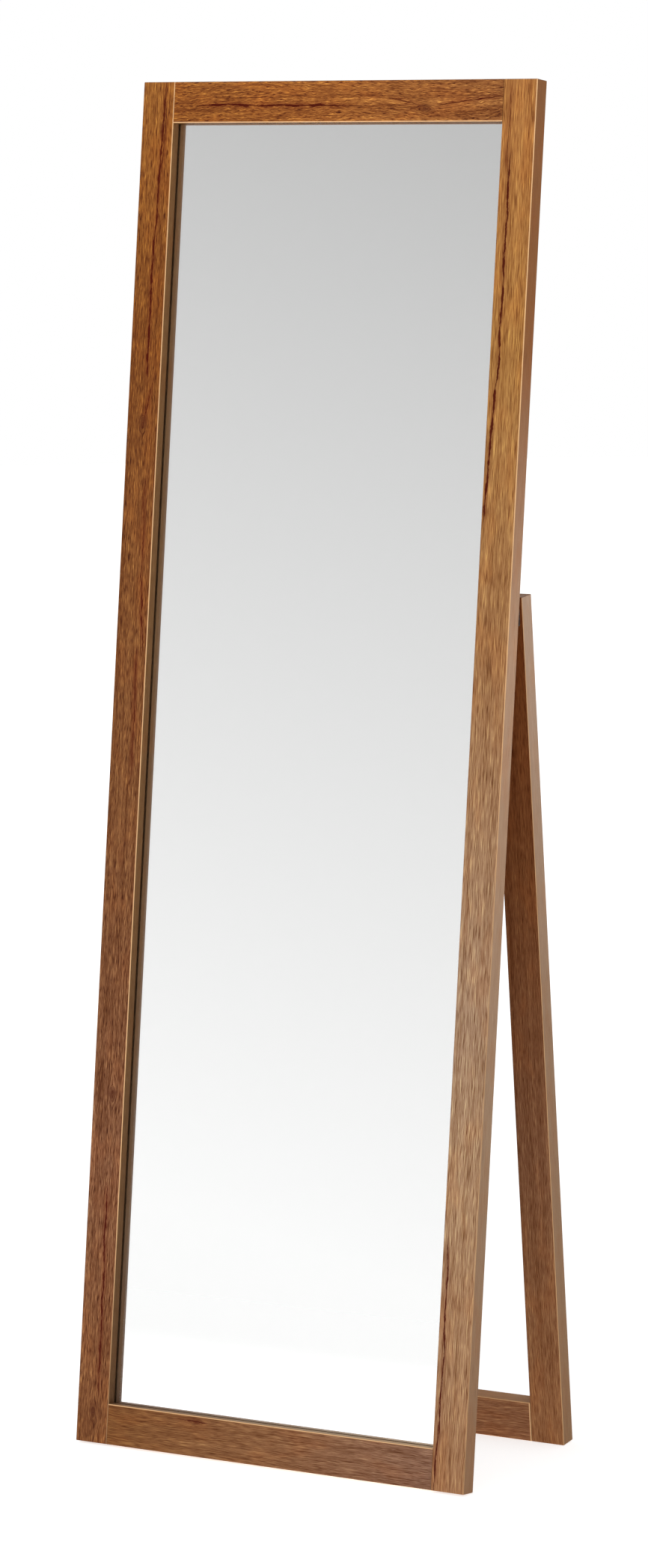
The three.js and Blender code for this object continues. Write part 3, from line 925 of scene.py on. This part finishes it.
def all_boards():
    for name, side in SIDES:
        stile_board(name, side)
        leg_board(name, side)
    rail_board("bottom", 0)
    rail_board("top", FRAME_LENGTH - RAIL)
    support_rail_board("bottom", 0)
    support_rail_board("top", LEG_LENGTH - RAIL)


# ---------- glass ----------

GLASS_FRONT = SEAM - REBATE_DEPTH
GLASS = 3.3
SILVER = 0.15
SILVER_GAP = 0.03  # between the pane and the silvering
CAD_GLASS = 4  # the glass and what holds it, in the CAD part


def in_rebate(front, thickness):
    reach = REBATE_EDGE - EDGE_PLAY
    low = (-reach, front, REBATE_FOOT + EDGE_PLAY)
    high = (reach, front + thickness, REBATE_TOP - EDGE_PLAY)
    return block(low, high)


def mirror():
    pane = round_edges(in_rebate(GLASS_FRONT, GLASS), 0.5, 2)
    made = new_object("mirror_pane", pane, clear_glass())
    settle(made, FRAME, ["mirror_glass"])
    coat = round_edges(in_rebate(GLASS_FRONT + GLASS + SILVER_GAP, SILVER), 0.03, 2)
    made = new_object("mirror_silvering", coat, silvering())
    settle(made, FRAME, [])


# ---------- screws ----------

THREAD_PITCH = 1.15
THREAD_STEPS = 6  # rows of points for each turn
THREAD_POINT = 3.2  # length that tapers


@dataclass
class ScrewKind:
    """Radius and height of the head, radius and length of the shank, and whether it's sunk."""

    head: float
    height: float
    shank: float
    length: float
    sunk: bool

    def head_rows(self):
        """(radius, height) from the middle of the head's top, at height 0, to the shank."""
        if self.sunk:
            return [
                (0, 0),
                (self.head - 0.25, 0),
                (self.head, -0.12),
                (self.head - 0.02, -0.24),
                (self.shank + 0.1, 0.1 - self.height),
                (self.shank * 0.96, -0.1 - self.height),
            ]
        dome = [
            (self.head * math.sin(a), 0.62 * self.height * (math.cos(a) - 1))
            for a in (math.pi * step / 16 for step in range(1, 9))
        ]
        seat = [(self.head, 0.15 - self.height), (self.head - 0.15, -self.height)]
        return [(0, 0), *dome, *seat, (self.shank * 0.96, -self.height - 0.05)]

    def thread_rows(self):
        """A helical thread from under the head to the point."""
        top = -self.height - 0.7
        tip = -self.height - self.length
        count = int((top - tip) / THREAD_PITCH * THREAD_STEPS)
        heights = [top - i * THREAD_PITCH / THREAD_STEPS for i in range(count)]
        return [*((self.ridge(height, tip), height) for height in heights), (0, tip)]

    def ridge(self, height, tip):
        """The thread's radius at a height, by the angle."""
        taper = min(1, (height - tip) / THREAD_POINT)

        def radius(angle):
            turns = (height / THREAD_PITCH + angle / (2 * math.pi)) % 1
            ridge = max(0, 1 - abs(turns - 0.5) / 0.24)
            return self.shank * taper * (0.7 + 0.3 * ridge) + 0.02

        return radius


LEAF_SCREW = ScrewKind(3, 1.5, 1.5, 12, True)
CLIP_SCREW = ScrewKind(3.2, 1.7, 1.5, 11, False)
STRAP_SCREW = ScrewKind(4.8, 2, 1.75, 12, False)
SLOT = 0.84  # width of the cross in a head
SLOT_REACH = 0.52  # of the head's radius
SLOT_DEPTH = 1.3
SLOT_TAPER = 0.45  # the share of its size that is left at its bottom


def wedge(half_x, half_y, depth):
    """One bar of the cross, from just over the head down to its depth."""
    bm = block((-half_x, -half_y, -depth), (half_x, half_y, 0.2))
    for vertex in bm.verts:
        if vertex.co.z < 0:
            vertex.co.x *= SLOT_TAPER
            vertex.co.y *= SLOT_TAPER
    return bm


def screw(name, kind, part, place, side):
    """A cross-head screw, its head's top at place, facing along y to the given side."""
    made = new_object(name, turned([*kind.head_rows(), *kind.thread_rows()], sides=24), ZINC)
    reach = kind.head * SLOT_REACH
    depth = min(SLOT_DEPTH, kind.height * 0.8)
    slots = [wedge(reach, SLOT / 2, depth), wedge(SLOT / 2, reach, depth)]
    combine(made, slots)
    mark_grain(made)
    turn = Matrix.Translation(place) @ Matrix.Rotation(-side * math.pi / 2, 4, "X")
    settle(made, part, [name], turn)


def screw_hole(kind, place, side):
    """The hole in a board, countersunk where the head is sunk."""
    bottom = -kind.height - kind.length - FIT
    radius = kind.shank + 0.1
    rows = [(0, bottom), (radius, bottom), (radius, -kind.height - 0.1), (radius, 0), (0, 0)]
    if kind.sunk:
        rows[3] = (kind.head + FIT, 0)
    return turned(rows, (0, side, 0), place, 20)


def clip_screw_holes(names):
    spots = [clip_screw_place(place, turn) for name, place, turn in clip_places() if name in names]
    return [screw_hole(CLIP_SCREW, spot, 1) for spot in spots]


def leaf_screw_holes(side, face, axis_height):
    """Holes for both screws of a leaf: face is 1 on the frame's back, -1 on the support's front."""
    height = axis_height - LEAF_SCREW_DROP
    spots = [(side * LEG_MIDDLE + offset, face * LEAF_FACE, height) for _, offset in HINGE_SCREWS]
    return [screw_hole(LEAF_SCREW, spot, face) for spot in spots]


# ---------- dowels ----------


def fluted(radius):
    """Radius round a dowel with glue flutes."""

    def at(angle):
        return radius - 0.26 * abs(math.sin(9 * angle)) ** 6

    return at


def dowel(name, part, place):
    half = DOWEL_LENGTH / 2
    side = [(fluted(DOWEL_RADIUS - 0.9), half), (fluted(DOWEL_RADIUS), half - 1)]
    rows = [(0, -half), *((r, -h) for r, h in side), *reversed(side), (0, half)]
    made = new_object(name, turned(rows, (1, 0, 0), sides=72), BEECH)
    mark_grain(made, Matrix.Translation((place[2], 0, 0)))
    settle(made, part, [name], Matrix.Translation(place))


def dowels():
    middle = BOARD / 2
    parts = (("frame", FRAME_LENGTH, -middle, FRAME), ("support", LEG_LENGTH, middle, SUPPORT))
    for prefix, length, y, part in parts:
        for name, side in SIDES:
            for level, spot, height in dowel_heights(length):
                dowel(f"{prefix}_dowel_{level}_{name}_{spot}", part, (side * INNER, y, height))


# ---------- back panel and its clips ----------

PANEL_FRONT = GLASS_FRONT + CAD_GLASS + SEAM
PANEL = 3
PANEL_BACK = PANEL_FRONT + PANEL
CLIP = 1
CLIP_WIDTH = 16
CLIP_SCREW_REACH = 8
CLIP_TAIL = 15  # from the step to the end on the board
CLIP_TOE = -10  # from the step to the end on the panel
CLIP_BEND = 1.1
CLIP_HEIGHTS = (("lower", 330), ("upper", 1210))
CLIP_OUT = 125  # from the middle to the clips on the rails


def back_panel():
    bm = round_edges(in_rebate(PANEL_FRONT, PANEL), 0.35, 3)
    made = new_object("back_panel", bm, hardboard())
    mark_grain(made)
    settle(made, FRAME, ["back_panel"])


def clip_places():
    """(name, place on the rebate's edge, turn that points the clip outwards)."""
    spots = []
    for name, side in SIDES:
        outwards = 0 if side > 0 else math.pi
        for level, height in CLIP_HEIGHTS:
            spots.append((f"{name}_{level}", (side * REBATE_EDGE, height), outwards))
        spots.append((f"top_{name}", (side * CLIP_OUT, REBATE_TOP), -math.pi / 2))
        spots.append((f"bottom_{name}", (side * CLIP_OUT, REBATE_FOOT), math.pi / 2))
    return spots


def clip_screw_place(place, turn):
    x = place[0] + CLIP_SCREW_REACH * math.cos(turn)
    z = place[1] - CLIP_SCREW_REACH * math.sin(turn)
    return (x, SEAM + CLIP + SEAM + CLIP_SCREW.height, z)


def rounded_path(corners, radius, steps=6):
    """The corners of an open path, each inner one replaced by a small curve."""
    points = [Vector(corners[0])]
    for before, corner, after in zip(corners, corners[1:], corners[2:]):
        before, corner, after = Vector(before), Vector(corner), Vector(after)
        start = corner + (before - corner).normalized() * radius
        end = corner + (after - corner).normalized() * radius
        for i in range(steps + 1):
            t = i / steps
            points.append((1 - t) ** 2 * start + 2 * t * (1 - t) * corner + t * t * end)
    points.append(Vector(corners[-1]))
    return points


def offset_path(points, distance):
    moved = []
    for i, point in enumerate(points):
        along = (points[min(i + 1, len(points) - 1)] - points[max(i - 1, 0)]).normalized()
        moved.append(point + Vector((-along.y, along.x)) * distance)
    return moved


def clip_plate():
    """A stepped plate in x and y, of even width in z, with rounded corners."""
    high = SEAM + CLIP / 2
    low = PANEL_BACK + SEAM + CLIP / 2
    step = -0.9
    path = rounded_path([(CLIP_TAIL, high), (step, high), (step, low), (CLIP_TOE, low)], CLIP_BEND)
    outline = [*offset_path(path, CLIP / 2), *reversed(offset_path(path, -CLIP / 2))]
    bm = extruded([tuple(p) for p in outline], -CLIP_WIDTH / 2, CLIP_WIDTH / 2)
    # The outline was drawn in y and z. It goes to x and y, and the width goes to z.
    bm.transform(Matrix(((0, 1, 0, 0), (0, 0, 1, 0), (1, 0, 0, 0), (0, 0, 0, 1))))

    def at_a_corner(edge):
        a, b = (vertex.co for vertex in edge.verts)
        ends = (CLIP_TAIL, CLIP_TOE)
        return abs(a.z - b.z) < 0.01 and any(abs(a.x - x) + abs(b.x - x) < 0.02 for x in ends)

    return round_edges(bm, 2.6, 6, at_a_corner)


def clips():
    for name, place, turn in clip_places():
        made = new_object(f"panel_clip_{name}", clip_plate(), ZINC)
        hole = turned([(0, -1), (2, -1), (2, 3), (0, 3)], (0, 1, 0), (CLIP_SCREW_REACH, 0, 0))
        combine(made, [hole])
        soften(made, 0.14)
        spot = Matrix.Translation((place[0], 0, place[1]))
        mark_grain(made, spot)
        turned_spot = spot @ Matrix.Rotation(turn, 4, "Y")
        settle(made, FRAME, [f"panel_clip_{name}"], turned_spot)
        screw(f"clip_screw_{name}", CLIP_SCREW, FRAME, clip_screw_place(place, turn), 1)


# ---------- hinges ----------

KNUCKLE_REACH = 2.5
HINGE_WIDTH = 34
LEAF = 1.1
LEAF_LENGTH = 30
LEAF_SCREW_DROP = 23
LEAF_SCREW_REACH = 9
KNUCKLE = 5.7
PIN_RADIUS = 1.15
BARREL = KNUCKLE_REACH - SEAM
LEG_MIDDLE = HALF - STILE / 2
LEG_AXIS = LEG_LENGTH - KNUCKLE_REACH
AXIS_HEIGHT = LEG_AXIS * math.cos(SUPPORT_LEAN) - KNUCKLE_REACH * math.sin(SUPPORT_LEAN)
STILE_AXIS = (AXIS_HEIGHT + KNUCKLE_REACH * math.sin(FRAME_LEAN)) / math.cos(FRAME_LEAN)
LEAF_FACE = SEAM + LEAF
HINGE_SCREWS = (("inner", -LEAF_SCREW_REACH), ("outer", LEAF_SCREW_REACH))
LEAF_TOP = 2.75  # from the axis down to the leaf's plate
ROLL_FOOT = 3.4  # from the axis down to where the rolled end runs into the plate
ROLL_TURN = math.radians(292)
ROLL_STEPS = 30
SINK = 3.3  # radius of a leaf's screw hole at its face
SINK_FOOT = 1.8  # and below


def knuckle_outline(side):
    """The end of a leaf rolled round the pin, in y and z, from just below the axis."""
    inner = BARREL - LEAF
    angles = [ROLL_TURN * i / ROLL_STEPS for i in range(ROLL_STEPS + 1)]
    outside = [(BARREL * math.cos(a), BARREL * math.sin(a)) for a in angles]
    inside = [(inner * math.cos(a), inner * math.sin(a)) for a in reversed(angles)]
    outline = [(BARREL, -ROLL_FOOT), *outside, *inside, (inner, -ROLL_FOOT)]
    return [(side * y, z) for y, z in outline]


def leaf_plate(near, far):
    """The flat of a leaf between two y, its lower corners rounded and its rims softened."""
    half = HINGE_WIDTH / 2
    plate = block((-half, near, -LEAF_LENGTH), (half, far, -LEAF_TOP))

    def low_corner(edge):
        a, b = (vertex.co for vertex in edge.verts)
        return abs(a.y - b.y) > 0.5 and max(a.z, b.z) < 1 - LEAF_LENGTH

    def flat_edge(edge):
        return any(abs(abs(face.normal.y) - 1) < 0.01 for face in edge.link_faces)

    return round_edges(round_edges(plate, 3, 6, low_corner), 0.14, 2, flat_edge)


def hinge_leaf(name, part, place, side, knuckles):
    """A leaf that hangs down from the axis: side -1 for the frame's, 1 for the support's."""
    made = new_object(name, leaf_plate(*sorted((side * (BARREL - LEAF), side * BARREL))), ZINC)
    outline = knuckle_outline(side)
    combine(made, [extruded(outline, low, high, 0.12) for low, high in knuckles], "UNION")
    rows = [(0, -4), (SINK_FOOT, -4), (SINK_FOOT, -1.5), (SINK, 0), (SINK, 0.5), (0, 0.5)]
    spots = [(offset, side * (BARREL - LEAF), -LEAF_SCREW_DROP) for _, offset in HINGE_SCREWS]
    combine(made, [turned(rows, (0, -side, 0), spot) for spot in spots])
    mark_grain(made)
    settle(made, part, [name], Matrix.Translation(place))


def hinge_pin(name, place):
    half = HINGE_WIDTH / 2 + SEAM
    rim = PIN_RADIUS + 0.8
    head = ((0, 0.8), (rim * 0.45, 0.74), (rim * 0.8, 0.5), (rim, 0.16), (rim, 0), (PIN_RADIUS, 0))
    top = [(radius, half + height) for radius, height in head]
    rows = [*top, *((radius, -height) for radius, height in reversed(top))]
    made = new_object(name, turned(rows, (1, 0, 0)), PIN_STEEL)
    mark_grain(made)
    settle(made, FRAME, [name], Matrix.Translation(place))


def hinges():
    half = HINGE_WIDTH / 2
    outer_knuckles = ((-half, -KNUCKLE - SEAM), (KNUCKLE + SEAM, half))
    leaves = (("frame", FRAME, 1, STILE_AXIS), ("support", SUPPORT, -1, LEG_AXIS))
    for name, side in SIDES:
        x = side * LEG_MIDDLE
        on_stile = (x, KNUCKLE_REACH, STILE_AXIS)
        on_leg = (x, -KNUCKLE_REACH, LEG_AXIS)
        hinge_leaf(f"hinge_{name}_frame_leaf", FRAME, on_stile, -1, outer_knuckles)
        hinge_leaf(f"hinge_{name}_support_leaf", SUPPORT, on_leg, 1, ((-KNUCKLE, KNUCKLE),))
        hinge_pin(f"hinge_{name}_pin", on_stile)
        for label, offset in HINGE_SCREWS:
            for prefix, part, face, axis in leaves:
                place = (x + offset, face * LEAF_FACE, axis - LEAF_SCREW_DROP)
                screw(f"hinge_{name}_{prefix}_screw_{label}", LEAF_SCREW, part, place, face)


# ---------- limit strap ----------

STRAP = 1
STRAP_WIDTH = 25
STRAP_TAB = 20
STRAP_BEND = 4
STRAP_FRAME_DROP = 4
STRAP_SUPPORT_RISE = 44
CORD = 1.25  # width of one cord of the webbing
CORD_STEPS = 4  # points across each cord
CORD_CROWN = 0.16  # how far a cord stands out
SELVEDGE = 0.6  # width of the strap's rounded edge
STRAP_STEP = 1.4  # between rows along the strap, one row for each pass over or under
STRAP_SCREW_IN = 9  # from a tab's end to its screw


def strap_corners():
    """Ends and bends of the strap's middle line, in metres."""
    off = SEAM + STRAP / 2
    return [
        ON_FRAME @ Vector((0, off, STRAP_FRAME_DROP)),
        ON_FRAME @ Vector((0, off, STRAP_FRAME_DROP + STRAP_TAB)),
        ON_SUPPORT @ Vector((0, -off, STRAP_SUPPORT_RISE - STRAP_TAB)),
        ON_SUPPORT @ Vector((0, -off, STRAP_SUPPORT_RISE)),
    ]


def even_points(points, step):
    """The path again, with points evenly spaced at about the step, both ends kept."""
    lengths = [(b - a).length for a, b in zip(points, points[1:])]
    count = round(sum(lengths) / step)
    step = sum(lengths) / count
    spaced = [points[0]]
    left = step
    for a, b, length in zip(points, points[1:], lengths):
        while left <= length and len(spaced) < count:
            spaced.append(a.lerp(b, left / length))
            left += step
        left -= length
    return [*spaced, points[-1]]


def weave(row, across):
    """How far a cord stands out at a place on the strap, 0 to 1: over and under by turns."""
    cord = across / CORD
    crown = abs(math.sin(math.pi * cord))
    over = (row + math.floor(cord)) % 2
    return crown * (0.45 + 0.55 * over)


def strap_thickness(across, raised):
    """Half the strap's thickness with the cord's crown on it, rounded to nothing at its edges."""
    inside = min(1, (STRAP_WIDTH / 2 - abs(across)) / SELVEDGE)
    flat = (STRAP / 2 - CORD_CROWN) * math.sqrt(1 - (1 - inside) ** 2)
    return flat + CORD_CROWN * raised * inside


def strap_row(row, line):
    """The strap's outline across one row: each point's place, and what its material reads."""
    columns = round(STRAP_WIDTH / CORD) * CORD_STEPS
    ahead = line[min(row + 1, len(line) - 1)] - line[max(row - 1, 0)]
    normal = Vector((-ahead.y, ahead.x)).normalized()
    points = []
    for face, order in ((1, range(columns)), (-1, range(columns, 0, -1))):
        for column in order:
            across = column / CORD_STEPS * CORD - STRAP_WIDTH / 2
            raised = weave(row, across + STRAP_WIDTH / 2)
            y, z = line[row] + normal * face * strap_thickness(across, raised)
            points.append(((across, y, z), (row * STRAP_STEP, across, raised)))
    return points


def strap_cap(bm, ring, flipped):
    """Closes an end with a row of faces between the strap's two faces."""
    count = len(ring)
    for i in range(count // 2):
        quad = (ring[i], ring[i + 1], ring[-i - 1], ring[-i]) if i else (ring[0], ring[1], ring[-1])
        corners = list(dict.fromkeys(quad))
        bm.faces.new(corners if flipped else reversed(corners))


def strap_section(name, rows, holes=()):
    """One length of the strap, closed at both ends."""
    bm = bmesh.new()
    rings = [[bm.verts.new(place) for place, _ in row] for row in rows]
    for low, high in zip(rings, rings[1:]):
        for i in range(len(low)):
            j = (i + 1) % len(low)
            bm.faces.new((low[i], low[j], high[j], high[i]))
    strap_cap(bm, rings[0], True)
    strap_cap(bm, rings[-1], False)
    made = new_object(name, bm, WEBBING)
    mark_places(made, [reads for row in rows for _, reads in row])
    if holes:
        combine(made, holes)
    made.data.transform(Matrix.Scale(MM, 4))
    made.data.shade_smooth()
    made.data.set_sharp_from_angle(angle=math.radians(60))
    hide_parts("limit_strap")
    return made


def strap_hole(face):
    """The screw's hole through the strap, in millimetres of the row frame."""
    on = ON_FRAME if face > 0 else ON_SUPPORT
    place = on @ Vector(strap_screw_place(face)) / MM
    axis = on.to_3x3() @ Vector((0, face, 0))
    radius = STRAP_SCREW.shank + FIT
    rows = [(0, -6), (radius, -6), (radius, 2), (0, 2)]
    return turned(rows, axis.normalized(), place, 24)


def limit_strap():
    """Woven webbing in three lengths, so that its tabs stay on their rails when it folds."""
    flat = [Vector((corner.y, corner.z)) / MM for corner in strap_corners()]
    line = even_points(rounded_path(flat, STRAP_BEND), STRAP_STEP)
    rows = [strap_row(row, line) for row in range(len(line))]
    first = int((STRAP_TAB - STRAP_BEND) / STRAP_STEP)
    last = len(line) - 1 - first
    tab = strap_section("limit_strap_frame_tab", rows[: first + 1], [strap_hole(1)])
    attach(tab, "mirror_frame")
    tab = strap_section("limit_strap_support_tab", rows[last:], [strap_hole(-1)])
    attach(tab, "support")
    web = strap_section("limit_strap_web", rows[first : last + 1])
    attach(web, "mirror_frame")
    fold_away(web)


def fold_away(web):
    """Gives the web a mesh of its own."""
    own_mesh(web)


def strap_screw_place(face):
    """Top of the screw's head: face is 1 on the mirror frame's back, -1 on the support's front."""
    end = STRAP_FRAME_DROP if face > 0 else STRAP_SUPPORT_RISE
    height = end + face * STRAP_SCREW_IN
    return (0, face * (SEAM + STRAP + SEAM + STRAP_SCREW.height), height)


def strap_screws():
    screw("strap_screw_frame", STRAP_SCREW, FRAME, strap_screw_place(1), 1)
    screw("strap_screw_support", STRAP_SCREW, SUPPORT, strap_screw_place(-1), -1)


# ---------- floor, light and camera ----------

# Brightness of the studio round the mirror, by the sine of the height angle.
STUDIO = ((0.0, 1.08), (0.232, 0.55), (0.5, 0.5), (1.0, 0.5))
WHITE = (1.0, 1.0, 1.0, 1.0)
FLOOR_RADIUS = 14  # metres, like everything else in the studio
KEY_PLACE = (-1.2, -3.6, 3.8)
KEY_TARGET = (0, 0, 0.75)
KEY_SIZE = 2.0
KEY_POWER = 60


def emissive_floor():
    """A pale floor that glows like the backdrop, a little less where the mirror shows it."""
    s = Shader("studio_floor")
    s.set(Base_Color=(0.8, 0.8, 0.8, 1.0), Emission_Color=WHITE)
    s.set(Roughness=0.9, Specular_IOR_Level=0.0)
    where = s.node("ShaderNodeTexCoord").outputs["Object"]
    away = s.node("ShaderNodeVectorMath", {0: where}, operation="LENGTH").outputs["Value"]
    ahead = s.node("ShaderNodeSeparateXYZ", {"Vector": where}).outputs["Y"]
    dimmer = s.span(ahead, -1.0, -4.0, 0.0, 0.11)
    s.set(Emission_Strength=s.sub(s.span(away, 0.3, 3.0, 0.7, 0.78), dimmer))
    return s.material


def studio_floor():
    bm = bmesh.new()
    bmesh.ops.create_circle(bm, cap_ends=True, radius=FLOOR_RADIUS, segments=96)
    made = new_object("studio_floor", bm, emissive_floor())


def studio_walls():
    """White for the camera. All else sees walls that are brightest near the floor."""
    world = bpy.data.worlds.new("studio")
    bpy.context.scene.world = world
    s = Nodes(world)
    s.tree.nodes.clear()
    direction = s.node("ShaderNodeTexCoord").outputs["Generated"]
    parts = s.node("ShaderNodeSeparateXYZ", {"Vector": direction}).outputs
    # The wall that the mirror shows is a little brighter towards the left.
    slope = s.span(parts["X"], -0.6, -0.4, -0.025, 0.025, "LINEAR")
    greys = [(place, (grey, grey, grey, 1.0)) for place, grey in STUDIO]
    colour = s.ramp(s.add(parts["Z"], slope), greys)
    walls = s.node("ShaderNodeBackground", {"Color": colour}).outputs[0]
    white = s.node("ShaderNodeBackground", {"Color": WHITE}).outputs[0]
    seen = s.node("ShaderNodeLightPath").outputs["Is Camera Ray"]
    choice = s.node("ShaderNodeMixShader", {"Fac": seen, 1: walls, 2: white}).outputs[0]
    s.node("ShaderNodeOutputWorld", {"Surface": choice})


def key_light():
    light = bpy.data.lights.new("key_light", "AREA")
    light.shape = "SQUARE"
    light.size = KEY_SIZE
    light.energy = KEY_POWER
    made = bpy.data.objects.new("key_light", light)
    made.location = KEY_PLACE
    ahead = Vector(KEY_TARGET) - Vector(KEY_PLACE)
    made.rotation_euler = ahead.to_track_quat("-Z", "Y").to_euler()
    bpy.context.scene.collection.objects.link(made)


CAMERA_PLACE = (2.8931, -5.0024, 1.5739)
CAMERA_TURNS = ((29.94, "Z"), (81.92, "X"), (-0.786, "Z"))
CAMERA_LENS = 120.29


def camera():
    data = bpy.data.cameras.new("camera")
    data.lens = CAMERA_LENS
    data.sensor_width = 36
    data.clip_start = 0.1
    data.clip_end = 60
    made = bpy.data.objects.new("camera", data)
    made.matrix_world = Matrix.Translation(CAMERA_PLACE)
    for degrees, axis in CAMERA_TURNS:
        made.matrix_world = made.matrix_world @ Matrix.Rotation(math.radians(degrees), 4, axis)
    bpy.context.scene.collection.objects.link(made)
    bpy.context.scene.camera = made


def studio():
    bpy.context.scene.view_settings.view_transform = "Standard"
    studio_floor()
    studio_walls()
    key_light()
    camera()


all_boards()
mirror()
back_panel()
clips()
hinges()
dowels()
limit_strap()
strap_screws()
studio()
